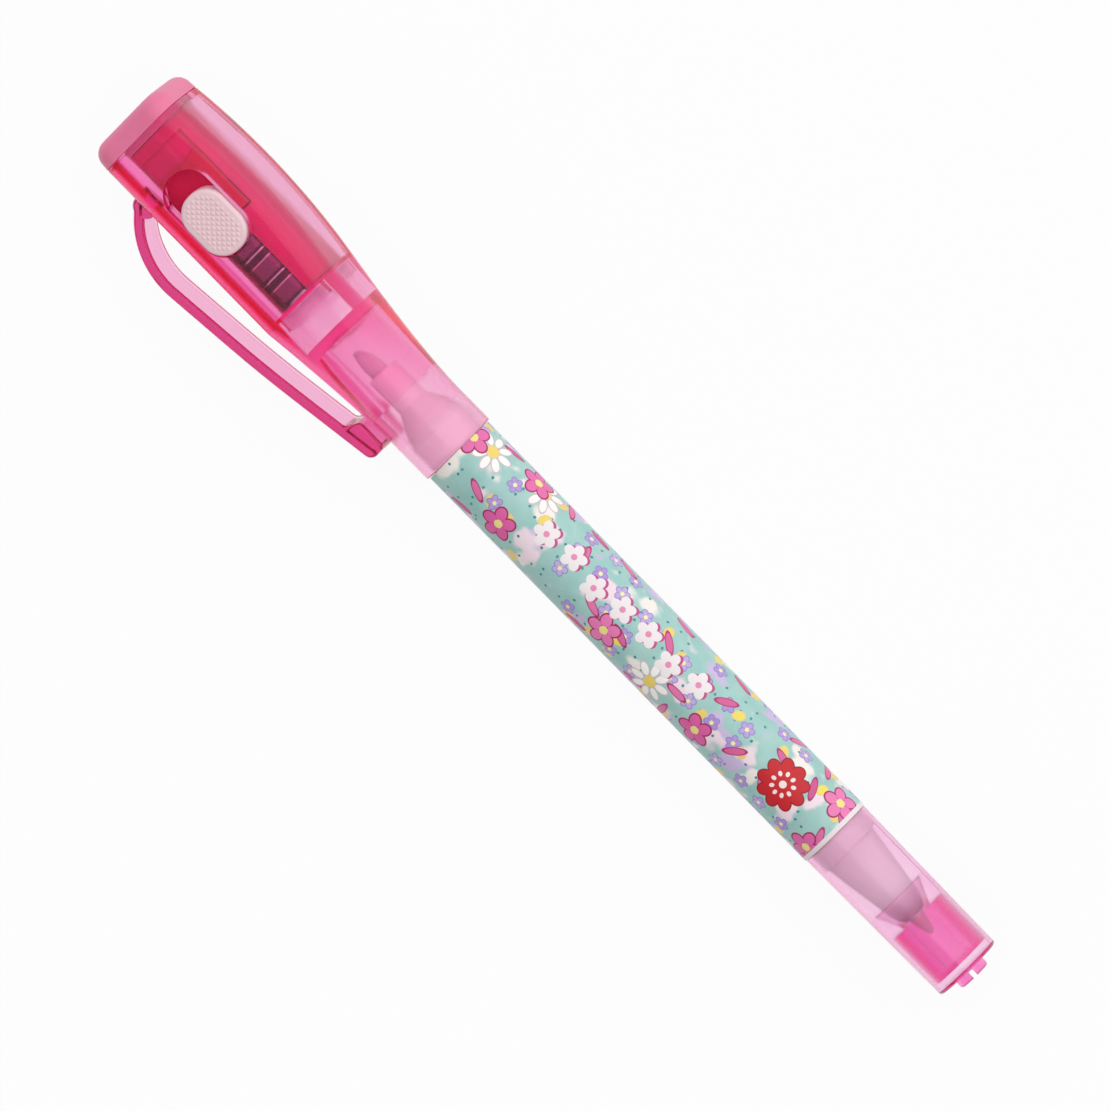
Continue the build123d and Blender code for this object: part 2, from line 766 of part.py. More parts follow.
# Ultraviolet lamp
with BuildPart() as uv_led:
    with BuildSketch():
        with BuildLine():
            dome_tip_x = chamber_front_x - led_length
            Polyline(
                (dome_tip_x + led_diameter / 2, core_y + led_diameter / 2),
                (led_flange_x, core_y + led_diameter / 2),
                (led_flange_x, core_y + led_flange_diameter / 2),
                (chamber_front_x, core_y + led_flange_diameter / 2),
                (chamber_front_x, core_y),
                (dome_tip_x, core_y),
            )
            RadiusArc(
                (dome_tip_x, core_y),
                (dome_tip_x + led_diameter / 2, core_y + led_diameter / 2),
                led_diameter / 2,
            )
        make_face()
    revolve(axis=Axis((0, core_y, 0), (1, 0, 0)))
finish(uv_led.part, "uv_led")

# Lamp leads
for side, name in ((1, "led_anode_lead"), (-1, "led_cathode_lead")):
    with BuildPart() as lead:
        with BuildSketch(Plane.YZ.offset(chamber_front_x)):
            with Locations((core_y, side * lead_pitch / 2)):
                Rectangle(lead_thickness, lead_thickness)
        extrude(amount=lead_length)
    finish(lead.part, name)

# Button cells
for number in range(cell_count):
    front_x = cell_front_x + number * cell_thickness
    with BuildPart() as cell:
        with BuildSketch(Plane.YZ.offset(front_x)):
            with Locations((core_y, 0)):
                Circle(cell_diameter / 2)
        extrude(amount=cell_thickness - cell_cap_length)
        with BuildSketch(Plane.YZ.offset(front_x + cell_thickness - cell_cap_length)):
            with Locations((core_y, 0)):
                Circle(cell_cap_diameter / 2)
        extrude(amount=cell_cap_length)
    finish(cell.part, f"button_cell_{number + 1}")

# Contact in front of the cells, with an arm under the switch
with BuildPart() as front_contact:
    with BuildSketch(Plane.YZ.offset(cell_bore_x)):
        with Locations((core_y, 0)):
            Circle(contact_plate_diameter / 2)
    extrude(amount=contact_thickness)
    with BuildSketch(Plane.YZ.offset(cell_bore_x)):
        with Locations((core_y, lead_top_z - contact_thickness / 2)):
            Rectangle(contact_width, contact_thickness)
    extrude(amount=-front_arm_length)
finish(front_contact.part, "front_contact")

# Contact behind the cells, with a strip under the carrier and a tab at the cathode lead
with BuildPart() as rear_contact:
    with BuildSketch(Plane.YZ.offset(cell_rear_x)):
        with Locations((core_y, 0)):
            Circle(contact_plate_diameter / 2)
        with Locations((core_y, -carrier_top_z / 2)):
            Rectangle(contact_width, carrier_top_z)
    extrude(amount=contact_thickness)
    with BuildSketch(Plane.XY.offset(-carrier_top_z)):
        with Locations(((lead_end_x + cell_rear_x) / 2, core_y)):
            Rectangle(cell_rear_x - lead_end_x, contact_width)
    extrude(amount=contact_thickness)
    with BuildSketch(Plane.XY.offset(-carrier_top_z)):
        with Locations((lead_end_x + contact_thickness / 2, core_y)):
            Rectangle(contact_thickness, contact_width)
    extrude(amount=carrier_top_z - (lead_pitch - lead_thickness) / 2)
finish(rear_contact.part, "rear_contact")

# Switch button
with BuildPart() as switch_button:
    with BuildSketch(Plane.XY.offset(slider_top_z)):
        with Locations((button_middle_x, core_y)):
            RectangleRounded(button_length, button_width, button_corner)
    extrude(amount=shell_top_z + button_proud - slider_top_z)
    fillet(switch_button.faces().sort_by(Axis.Z)[-1].edges(), button_edge_radius)
finish(switch_button.part, "switch_button")

# Slider that keeps the button in its slot
with BuildPart() as switch_slider:
    with BuildSketch(Plane.YZ.offset(slider_rear_x)):
        with Locations((core_y, 0)):
            RectangleRounded(slider_size, slider_size, slider_corner)
        with Locations((core_y, slider_top_z - slider_thickness / 2)):
            Rectangle(slider_width, slider_thickness, mode=Mode.INTERSECT)
    extrude(amount=-slider_length)
    # Arched shutter ahead of it, which keeps the slot closed
    with BuildSketch(Plane.YZ.offset(slider_front_x)):
        with Locations((core_y, 0)):
            RectangleRounded(slider_size, slider_size, slider_corner)
            RectangleRounded(
                slider_size - 2 * shutter_thickness,
                slider_size - 2 * shutter_thickness,
                slider_corner - shutter_thickness,
                mode=Mode.SUBTRACT,
            )
        with Locations((core_y, slider_top_z / 2)):
            Rectangle(slider_width, slider_top_z, mode=Mode.INTERSECT)
    extrude(amount=shutter_front_x - slider_front_x)
finish(switch_slider.part, "switch_slider")

# Sprung bridge under the slider, which joins lead and contact
with BuildPart() as switch_contact:
    bridge_x = slider_front_x + bridge_inset
    bridge_top_z = slider_top_z - slider_thickness
    bridge_foot_z = lead_top_z + running_fit
    with BuildSketch(Plane.XZ.offset(-core_y)):
        with BuildLine():
            Polyline(
                (bridge_x, bridge_foot_z),
                (bridge_x, bridge_top_z),
                (bridge_x + bridge_length, bridge_top_z),
                (bridge_x + bridge_length, bridge_foot_z),
                (bridge_x + bridge_length - contact_thickness, bridge_foot_z),
                (bridge_x + bridge_length - contact_thickness, bridge_top_z - contact_thickness),
                (bridge_x + contact_thickness, bridge_top_z - contact_thickness),
                (bridge_x + contact_thickness, bridge_foot_z),
                close=True,
            )
        make_face()
    extrude(amount=contact_width / 2, both=True)
finish(switch_contact.part, "switch_contact")

# Pocket clip: bead in the shell's groove, bent arm and a pad beside the sleeve
root_turn = radians(-clip_root_angle)
run_turn = radians(clip_slope)
end_turn = radians(clip_end_slope)
arm_half = clip_thickness / 2
arm_start = Vector(bead_x, bead_y) + outward(root_turn) * (bead_radius - clip_arm_inset - arm_half)
bend_tangent = clip_bend_radius * tan((run_turn - root_turn) / 2)
hump_rise = bend_tangent * sin(run_turn) - clip_bend_radius * (1 - cos(run_turn))
bend_y = arm_half - clip_reach - hump_rise
arm_bend = arm_start + heading(root_turn) * ((bend_y - arm_start.Y) / sin(root_turn))
arm_turn = arm_bend + heading(run_turn) * clip_first_run
arm_tip = arm_turn + heading(end_turn) * clip_second_run
pad_foot = arm_tip - heading(end_turn) * (clip_pad_length + clip_pad_ramp)
pad_y = -sleeve_radius - clip_pad_gap
with BuildPart() as pocket_clip:
    with BuildSketch():
        with BuildLine():
            FilletPolyline(
                arm_corner(arm_start, root_turn, root_turn, arm_half),
                arm_corner(arm_bend, root_turn, run_turn, arm_half),
                arm_corner(arm_turn, run_turn, end_turn, arm_half),
                arm_corner(arm_tip, end_turn, end_turn, arm_half),
                (arm_tip.X, pad_y),
                (arm_tip.X - clip_pad_length, pad_y),
                arm_corner(pad_foot, end_turn, end_turn, -arm_half),
                arm_corner(arm_turn, run_turn, end_turn, -arm_half),
                arm_corner(arm_bend, root_turn, run_turn, -arm_half),
                arm_corner(arm_start, root_turn, root_turn, -arm_half),
                radius=(
                    0,
                    clip_bend_radius + arm_half,
                    clip_sweep_radius + arm_half,
                    clip_tip_radius,
                    clip_pad_radius,
                    clip_pad_radius,
                    clip_pad_radius,
                    clip_sweep_radius - arm_half,
                    clip_bend_radius - arm_half,
                    0,
                ),
                close=True,
            )
        make_face()
        with Locations((bead_x, bead_y)):
            Circle(bead_radius)
    extrude(amount=clip_width / 2, both=True)
    clip_faces = pocket_clip.faces().filter_by(Axis.Z)
    fillet(clip_faces.edges(), clip_edge_radius)
finish(pocket_clip.part, "pocket_clip")
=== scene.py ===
# %% [markdown]
# # A two-ended pen with a torch in its cap
# The pen has a felt marker under a clear pink cap with a torch in it, a printed barrel, and a ballpoint
# under a small clear tail cap. The CAD frame gives every piece its shape and its place, in metres, so
# this lesson is about looks: clear tinted plastic, frosted plastic, white mouldings, metal, felt and a
# printed film. The frame is loaded first, and its box is kept.

import json
from math import cos, pi, radians, sin

import bmesh
import bpy
from mathutils import Matrix, Vector

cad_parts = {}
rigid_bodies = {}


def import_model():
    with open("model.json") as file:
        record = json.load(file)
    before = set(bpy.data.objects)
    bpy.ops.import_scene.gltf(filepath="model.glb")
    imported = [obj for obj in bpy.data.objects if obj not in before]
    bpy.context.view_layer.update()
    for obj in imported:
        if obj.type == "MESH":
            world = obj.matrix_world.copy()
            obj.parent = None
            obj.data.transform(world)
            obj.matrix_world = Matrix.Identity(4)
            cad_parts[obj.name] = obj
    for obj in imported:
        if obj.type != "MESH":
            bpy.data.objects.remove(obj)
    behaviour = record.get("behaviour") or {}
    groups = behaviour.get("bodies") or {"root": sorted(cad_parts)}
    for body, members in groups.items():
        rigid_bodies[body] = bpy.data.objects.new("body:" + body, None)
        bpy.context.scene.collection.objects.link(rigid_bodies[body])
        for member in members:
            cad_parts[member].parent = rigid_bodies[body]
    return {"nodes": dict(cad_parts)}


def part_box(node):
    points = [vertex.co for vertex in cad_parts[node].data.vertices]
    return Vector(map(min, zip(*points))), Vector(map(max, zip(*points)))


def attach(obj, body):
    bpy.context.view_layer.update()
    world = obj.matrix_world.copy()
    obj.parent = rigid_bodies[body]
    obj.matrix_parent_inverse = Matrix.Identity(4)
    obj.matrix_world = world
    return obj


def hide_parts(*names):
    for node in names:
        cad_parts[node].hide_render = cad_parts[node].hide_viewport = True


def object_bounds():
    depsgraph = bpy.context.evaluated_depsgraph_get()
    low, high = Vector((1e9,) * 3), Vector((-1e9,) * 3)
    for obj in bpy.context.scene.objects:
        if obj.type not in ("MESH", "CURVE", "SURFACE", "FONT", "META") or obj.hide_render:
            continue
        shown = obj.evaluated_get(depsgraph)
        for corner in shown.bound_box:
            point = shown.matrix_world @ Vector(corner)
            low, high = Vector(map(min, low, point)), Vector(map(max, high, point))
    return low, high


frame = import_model()
cad_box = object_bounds()
nodes = frame["nodes"]
scene = bpy.context.scene
MM = 0.001

# %% [markdown]
# ## Three helpers
# Colours are written as sRGB hex, as they are read off a swatch, and Blender's shaders want linear light,
# so one function converts them. A second one adds a node: its settings are keywords, and each input is
# either a socket to link or a value to set. A third one starts a material with an empty node tree, since
# none of them uses the tree that Blender gives a new material. Everything below is made with these three.

# %% Colour, node and material helpers
def linear(code):
    """Linear colour of an sRGB hex code."""
    channels = [int(code[at : at + 2], 16) / 255 for at in (1, 3, 5)]
    return [c / 12.92 if c <= 0.04045 else ((c + 0.055) / 1.055) ** 2.4 for c in channels] + [1.0]


def add(tree, kind, inputs=None, **settings):
    """Add a node, set it up and connect it."""
    node = tree.nodes.new(kind)
    for name, value in settings.items():
        setattr(node, name, value)
    for key, value in (inputs or {}).items():
        if isinstance(value, bpy.types.NodeSocket):
            tree.links.new(value, node.inputs[key])
        else:
            node.inputs[key].default_value = value
    return node


def new_material(name):
    """Start a material, and give it with its empty node tree."""
    material = bpy.data.materials.new(name)
    material.use_nodes = True
    material.node_tree.nodes.clear()
    return material, material.node_tree


print("pink in linear light:", [round(c, 3) for c in linear("#E35D89")])

# %% [markdown]
# ## Camera
# The photograph looks down on the pen from the switch's side, tipped a little towards the side away from
# the clip, through a long lens. The pen runs from the upper left to the lower right of the picture. The
# camera's three axes are worked out from that tilt and that slant, and the distance only sets the lens.

# %% Camera
view_tilt = radians(23.5)
pen_slant = radians(45.55)
frame_width = 134.3 * MM
camera_distance = 1.3
sensor_mm = 36
middle_x = -14.86 * MM
middle_up = -0.63 * MM

towards_camera = Vector((0, sin(view_tilt), cos(view_tilt)))
along_pen = Vector((1, 0, 0))
above_pen = Vector((0, cos(view_tilt), -sin(view_tilt)))
picture_right = along_pen * cos(pen_slant) + above_pen * sin(pen_slant)
picture_up = above_pen * cos(pen_slant) - along_pen * sin(pen_slant)

camera_data = bpy.data.cameras.new("camera")
camera_data.sensor_width = sensor_mm
camera_data.lens = sensor_mm * camera_distance / frame_width
camera = bpy.data.objects.new("camera", camera_data)
scene.collection.objects.link(camera)
target = along_pen * middle_x + above_pen * middle_up
place = target + towards_camera * camera_distance
axes = Matrix((picture_right, picture_up, towards_camera)).transposed()
camera.matrix_world = Matrix.Translation(place) @ axes.to_4x4()
scene.camera = camera
print("lens:", round(camera_data.lens), "mm")

# %% [markdown]
# ## Tabletop
# A pale tabletop lies just under the flat back of the torch. Clear plastic shows what is behind it, so
# the tabletop looks white to the rays that the camera sends straight, by mirror or through the plastic. A
# small share of its own shading stays, so the pen still has a shadow. More light would also turn it
# white, but it would wash out the pen.

# %% Tabletop
table_size = 3.0
table_drop = 0.05 * MM
table_glow = 0.94
WHITE = (1.0, 1.0, 1.0, 1.0)

table_z = cad_box[0][2] - table_drop
half = table_size / 2
corners = [(-half, -half, table_z), (half, -half, table_z), (half, half, table_z), (-half, half, table_z)]
table_mesh = bpy.data.meshes.new("tabletop")
table_mesh.from_pydata(corners, [], [(0, 1, 2, 3)])
tabletop = bpy.data.objects.new("tabletop", table_mesh)
scene.collection.objects.link(tabletop)

# White card: fully matt, and white wherever it is seen
card, tree = new_material("white_card")
path = add(tree, "ShaderNodeLightPath").outputs
mirror = add(tree, "ShaderNodeMath", {
    0: path["Is Camera Ray"], 1: path["Is Glossy Ray"]}, operation="MAXIMUM")
seen = add(tree, "ShaderNodeMath", {
    0: mirror.outputs[0], 1: path["Is Transmission Ray"]}, operation="MAXIMUM")
share = add(tree, "ShaderNodeMath", {0: seen.outputs[0], 1: table_glow}, operation="MULTIPLY")
matt = add(tree, "ShaderNodeBsdfDiffuse", {"Color": linear("#F4F4F4")})
glow = add(tree, "ShaderNodeEmission", {"Color": WHITE, "Strength": 1.0})
both = add(tree, "ShaderNodeMixShader", {0: share.outputs[0], 1: matt.outputs[0], 2: glow.outputs[0]})
add(tree, "ShaderNodeOutputMaterial", {"Surface": both.outputs[0]})
table_mesh.materials.append(card)
print("tabletop at", round(table_z / MM, 2), "mm")

# %% [markdown]
# ## Light from all round
# The world both lights the pen and shows in its plastic and metal, so it answers each kind of ray by
# itself. To rays that are seen it is white at the height of the table and where the camera looks straight
# at it. Higher up it is a dim ceiling for mirror rays, because a white one would lay a haze over the deep
# pink plastic, and a brighter one for rays that come out of the clear plastic. To rays that light a
# surface it is brighter on the upper side of the pen. Behind clear walls that light is raised, more with
# each surface it has passed, to make up for what the walls throw back, and its dark side is lifted,
# because the walls spread light round the pen.

# %% Light from all round
mirror_ceiling = 0.28
through_ceiling = 0.85
horizon_low = 0.05
horizon_high = 0.35
open_light = 1.0
deepest_light = 2.1
deepest_surfaces = 8.0
dark_side = 0.4
dark_side_inside = 0.66
inside_surfaces = 4.0
bright_side = 1.22

world = bpy.data.worlds.new("studio")
scene.world = world
world.use_nodes = True
tree = world.node_tree
tree.nodes.clear()
path = add(tree, "ShaderNodeLightPath").outputs
ray_way = add(tree, "ShaderNodeTexCoord").outputs["Generated"]
rise = add(tree, "ShaderNodeSeparateXYZ", {0: ray_way}).outputs["Z"]
ceiling = add(tree, "ShaderNodeMapRange", {
    "Value": path["Is Transmission Ray"], "To Min": mirror_ceiling, "To Max": through_ceiling})
room = add(tree, "ShaderNodeMapRange", {
    "Value": rise, "From Min": horizon_low, "From Max": horizon_high, "To Min": 1.0,
    "To Max": ceiling.outputs[0]}, interpolation_type="SMOOTHSTEP")
backdrop = add(tree, "ShaderNodeMath", {0: room.outputs[0], 1: path["Is Camera Ray"]}, operation="MAXIMUM")
shown = add(tree, "ShaderNodeBackground", {"Color": WHITE, "Strength": backdrop.outputs[0]})
level = add(tree, "ShaderNodeMapRange", {
    "Value": path["Transmission Depth"], "From Max": deepest_surfaces, "To Min": open_light,
    "To Max": deepest_light})
shade = add(tree, "ShaderNodeMapRange", {
    "Value": path["Transmission Depth"], "From Max": inside_surfaces, "To Min": dark_side,
    "To Max": dark_side_inside})
upward = add(tree, "ShaderNodeVectorMath", {0: ray_way, 1: above_pen}, operation="DOT_PRODUCT")
side = add(tree, "ShaderNodeMapRange", {
    "Value": upward.outputs["Value"], "From Min": -1.0, "To Min": shade.outputs[0], "To Max": bright_side})
strength = add(tree, "ShaderNodeMath", {0: level.outputs[0], 1: side.outputs[0]}, operation="MULTIPLY")
light = add(tree, "ShaderNodeBackground", {"Color": WHITE, "Strength": strength.outputs[0]})
lighting = add(tree, "ShaderNodeMath", {0: path["Diffuse Depth"], 1: 0.5}, operation="GREATER_THAN")
both = add(tree, "ShaderNodeMixShader", {0: lighting.outputs[0], 1: shown.outputs[0], 2: light.outputs[0]})
add(tree, "ShaderNodeOutputWorld", {"Surface": both.outputs[0]})
print("world:", len(tree.nodes), "nodes")

# %% [markdown]
# ## One soft lamp
# A wide round lamp above the pen, a little to its upper side, rounds the barrel and the button and leaves
# a soft shadow. A small one would put hard sparks on the plastic, which the photograph doesn't show.
# Light crosses many walls inside the caps, so clear plastic also needs many more bounces than Blender's
# default.

# %% Soft lamp
lamp_distance = 1.0
lamp_width = 1.6
lamp_watts = 3.8
lamp_above = 0.4
lamp_towards = 0.93
lamp_along = -0.1
clear_bounces = 32
diffuse_bounces = 8

lamp_data = bpy.data.lights.new("soft_box", "AREA")
lamp_data.shape = "DISK"
lamp_data.size = lamp_width
lamp_data.energy = lamp_watts
lamp = bpy.data.objects.new("soft_box", lamp_data)
scene.collection.objects.link(lamp)
lamp.visible_camera = False
lamp_way = (above_pen * lamp_above + towards_camera * lamp_towards + along_pen * lamp_along).normalized()
lamp_turn = lamp_way.to_track_quat("Z", "Y").to_matrix().to_4x4()
lamp.matrix_world = Matrix.Translation(lamp_way * lamp_distance) @ lamp_turn
scene.view_settings.view_transform = "Standard"
scene.cycles.max_bounces = clear_bounces
scene.cycles.transmission_bounces = clear_bounces
scene.cycles.glossy_bounces = clear_bounces
scene.cycles.diffuse_bounces = diffuse_bounces
print("lamp from", [round(part, 2) for part in lamp_way])

# %% [markdown]
# ## Clear tinted polystyrene
# The torch's housing, the cap's neck, the clip and the tail cap are moulded in clear polystyrene with a
# pink dye. The tint isn't on the surface: light loses green and blue along its way through the plastic,
# so a thin wall looks pale and a thick one looks deep. A Volume Absorption does that, and the surface
# stays colourless. The loss per millimetre was worked out from the tail cap, which is pale where its wall
# is thin and magenta where it is thick. The surface is a handled moulding's: a faint waviness a few
# millimetres long, left by the flow and the cooling of the plastic, bends what is seen through it, and
# fine rubbing along the pen dulls it.

# %% Clear polystyrene
wave_mm = 3.5
wave_depth_mm = 0.05
wave_strength = 0.3
# Real hairlines are finer than a pixel, so they are drawn as coarse as they need to show
hairline_mm = 0.25
hairline_stretch = (0.08, 1.0, 1.0)
hairline_low = 0.3
hairline_high = 0.7
rubbing = 0.03
styrene_ior = 1.57
styrene_shine = 0.3
# The density stands a little above the strongest loss, so that no channel of the colour reaches zero
density_margin = 1.05


def clear_plastic(name, loss_per_mm, roughness):
    """Clear moulding: slightly wavy and rubbed, see-through but soft, with colour that grows with depth."""
    material, tree = new_material(name)
    place = add(tree, "ShaderNodeTexCoord").outputs["Object"]
    flow = add(tree, "ShaderNodeTexNoise", {"Vector": place, "Scale": 1 / (wave_mm * MM), "Detail": 1.0})
    waves = add(tree, "ShaderNodeBump", {
        "Strength": wave_strength, "Distance": wave_depth_mm * MM, "Height": flow.outputs["Fac"]})
    rubbed = add(tree, "ShaderNodeMapping", {"Vector": place, "Scale": hairline_stretch})
    hairlines = add(tree, "ShaderNodeTexNoise", {
        "Vector": rubbed.outputs[0], "Scale": 1 / (hairline_mm * MM), "Detail": 2.0})
    dulled = add(tree, "ShaderNodeMapRange", {
        "Value": hairlines.outputs["Fac"], "From Min": hairline_low, "From Max": hairline_high,
        "To Min": roughness - rubbing, "To Max": roughness + rubbing})
    surface = add(tree, "ShaderNodeBsdfPrincipled", {
        "Base Color": WHITE, "Roughness": dulled.outputs[0], "IOR": styrene_ior,
        "Specular IOR Level": styrene_shine, "Transmission Weight": 1.0, "Normal": waves.outputs[0]})
    density = max(loss_per_mm) * density_margin / MM
    colour = [1 - loss / MM / density for loss in loss_per_mm] + [1.0]
    depth = add(tree, "ShaderNodeVolumeAbsorption", {"Color": colour, "Density": density})
    add(tree, "ShaderNodeOutputMaterial", {"Surface": surface.outputs[0], "Volume": depth.outputs[0]})
    return material


# The housing is the deepest pink, the neck is paler, so that the nib shows through it
shell_styrene = clear_plastic("clear_deep_pink_polystyrene", (0.004, 0.31, 0.13), roughness=0.16)
pink_styrene = clear_plastic("clear_pink_polystyrene", (0.006, 0.25, 0.115), roughness=0.16)
# The clip is thin and smooth, so it needs more dye to look rose along its edges
clip_styrene = clear_plastic("clear_rose_polystyrene", (0.05, 0.5, 0.24), roughness=0.09)
# The tail cap is a cooler pink, which turns to magenta in its thick end
magenta_styrene = clear_plastic("clear_magenta_polystyrene", (0.01, 0.36, 0.13), roughness=0.14)
print("clear materials:", shell_styrene.name, pink_styrene.name, clip_styrene.name, magenta_styrene.name)

# %% [markdown]
# ## Moulded opaque plastics
# The frosted bezel, the deep pink carrier and the white mouldings let little or no light through in a
# straight line. They share one recipe: a Principled shader whose colour drifts a little with a wide
# noise, as in a moulding whose dye isn't perfectly mixed, and a fine bump for the texture of the mould.

# %% Moulded plastics
drift_mm = 4.0
grain_depth_mm = 0.02


def moulded(name, light, dark, roughness, grain_mm, relief, clear=0.0, gloss=0.5):
    """Injection moulded plastic with a slight drift of colour and the mould's fine texture."""
    material, tree = new_material(name)
    place = add(tree, "ShaderNodeTexCoord").outputs["Object"]
    drift = add(tree, "ShaderNodeTexNoise", {"Vector": place, "Scale": 1 / (drift_mm * MM), "Detail": 2.0})
    colour = add(tree, "ShaderNodeMix", {
        "Factor": drift.outputs["Fac"], "A": linear(light), "B": linear(dark)}, data_type="RGBA")
    grain = add(tree, "ShaderNodeTexNoise", {"Vector": place, "Scale": 1 / (grain_mm * MM), "Detail": 1.0})
    texture = add(tree, "ShaderNodeBump", {
        "Strength": relief, "Distance": grain_depth_mm * MM, "Height": grain.outputs["Fac"]})
    surface = add(tree, "ShaderNodeBsdfPrincipled", {
        "Base Color": colour.outputs["Result"], "Roughness": roughness, "Specular IOR Level": gloss,
        "Transmission Weight": clear, "Normal": texture.outputs[0]})
    add(tree, "ShaderNodeOutputMaterial", {"Surface": surface.outputs[0]})
    return material


# A blasted mould leaves the bezel matt, and a little light still goes through it
frosted_styrene = moulded(
    "frosted_pink_polystyrene", "#FA8AB2", "#F67AA6", roughness=0.42, grain_mm=0.12, relief=0.4, clear=0.2)
# The slider and the carrier are seen only inside the torch, so they are dull, with no gloss of their own
# The slider's crimson is darker and redder than the carrier: painted shade for its place deep in the slot
slider_styrene_shaded = moulded(
    "crimson_shaded_polystyrene", "#DA204E", "#D21A48", roughness=0.5, grain_mm=0.3, relief=0.1, gloss=0.1)
carrier_styrene = moulded(
    "deep_pink_polystyrene", "#E6146E", "#DE1068", roughness=0.5, grain_mm=0.3, relief=0.1, gloss=0.1)
# Polypropylene is waxy: soft highlights on ivory and white. The nib holder's brighter white is painted
# light, for the light it gets through the clear cap
button_polypropylene = moulded(
    "ivory_polypropylene", "#F2D1D7", "#EBC8CE", roughness=0.5, grain_mm=0.15, relief=0.25)
white_polypropylene = moulded(
    "white_polypropylene", "#EDE3E5", "#E6DBDE", roughness=0.45, grain_mm=0.15, relief=0.25)
holder_polypropylene_lit = moulded(
    "lit_white_polypropylene", "#FCEAEF", "#F8E3EA", roughness=0.45, grain_mm=0.15, relief=0.25)
# Drawn tubes have no dye, so they look milky
tube_polypropylene = moulded(
    "natural_polypropylene", "#F0F0EC", "#E4E4E0", roughness=0.4, grain_mm=0.2, relief=0.1, clear=0.4)
print("bezel:", frosted_styrene.name, "and carrier:", carrier_styrene.name)

# %% [markdown]
# ## Metals
# Contacts, cells and the ballpoint's point are small plated parts. Rolled strip and drawn cans have fine
# lines along the way they were made, so a noise stretched along the pen varies their roughness. A button
# cell is a can crimped over a gasket round a smaller cap. Its side is painted in bands: a painted highlight
# at its edge, the dark gasket ring, a painted highlight at the crimp, then the can, darker towards its far
# end. The can's dark plum is painted shade, for the dim inside of the torch that the steel mirrors. Those
# bands repeat from cell to cell, so they are worked out from the first cell's place along the pen.

# %% Metals
cell_low, cell_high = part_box("button_cell_1")
# The pale bands at 0 and 0.31 are painted highlights, the darkest is the gasket, and the plum can is
# painted shade
cell_bands_and_glints = ((0.0, "#F4C4D6"), (0.05, "#5A1434"), (0.31, "#E8A8C0"), (0.36, "#96406A"), (0.9, "#6E2448"))
line_stretch = (0.1, 1.0, 1.0)


def cell_side_with_glints(tree, place):
    """Colour bands along a button cell, painted highlights and painted shade among them, the same on every
    cell of the stack.
    """
    along = add(tree, "ShaderNodeSeparateXYZ", {0: place}).outputs["X"]
    wrapped = add(tree, "ShaderNodeMath", {0: along, 1: cell_high.x, 2: cell_low.x}, operation="WRAP")
    share = add(tree, "ShaderNodeMapRange", {
        "Value": wrapped.outputs[0], "From Min": cell_low.x, "From Max": cell_high.x})
    bands = add(tree, "ShaderNodeValToRGB", {0: share.outputs[0]})
    ramp = bands.color_ramp
    ramp.interpolation = "CONSTANT"
    for start, ink in cell_bands_and_glints[1:]:
        ramp.elements.new(start).color = linear(ink)
    ramp.elements[0].color = linear(cell_bands_and_glints[0][1])
    ramp.elements.remove(ramp.elements[-1])
    return bands.outputs["Color"]


def plated(name, roughness_low, roughness_high, line_mm, colour=None):
    """Plated or turned metal with fine lines from its making: one colour, or without it a cell's bands with
    painted highlights and shade.
    """
    material, tree = new_material(name)
    place = add(tree, "ShaderNodeTexCoord").outputs["Object"]
    stretched = add(tree, "ShaderNodeMapping", {"Vector": place, "Scale": line_stretch})
    lines = add(tree, "ShaderNodeTexNoise", {"Vector": stretched.outputs[0], "Scale": 1 / (line_mm * MM)})
    rough = add(tree, "ShaderNodeMapRange", {
        "Value": lines.outputs["Fac"], "To Min": roughness_low, "To Max": roughness_high})
    base = linear(colour) if colour else cell_side_with_glints(tree, place)
    surface = add(tree, "ShaderNodeBsdfPrincipled", {
        "Base Color": base, "Metallic": 1.0, "Roughness": rough.outputs[0]})
    add(tree, "ShaderNodeOutputMaterial", {"Surface": surface.outputs[0]})
    return material


# Rolled strip shines softly, a drawn can is duller, and a turned point is the brightest
strip_steel = plated("nickel_plated_strip", 0.18, 0.35, line_mm=0.25, colour="#C9C6C2")
cell_steel_with_glints = plated("drawn_cell_can_with_glints", 0.2, 0.4, line_mm=0.3)
tip_nickel = plated("turned_nickel_silver", 0.12, 0.25, line_mm=0.2, colour="#CFC9BE")
print("cell of", round((cell_high.x - cell_low.x) / MM, 2), "mm with", len(cell_bands_and_glints), "bands")

# %% [markdown]
# ## Felt, lamp resin and ink
# The nib and the reservoir are bonded fibre: off-white, fully matt, with fibres along the pen. The lamp
# is cast in clear epoxy, which is almost colourless and smoother than the mouldings. The ballpoint's ink
# is a dark paste, smooth and opaque like a moulding.

# %% Felt, lamp resin and ink
# Real fibres are finer than a pixel, so they are drawn as coarse as they need to show
fibre_mm = 0.12
fibre_stretch = (0.15, 1.0, 1.0)
nap_strength = 0.6
nap_depth_mm = 0.05

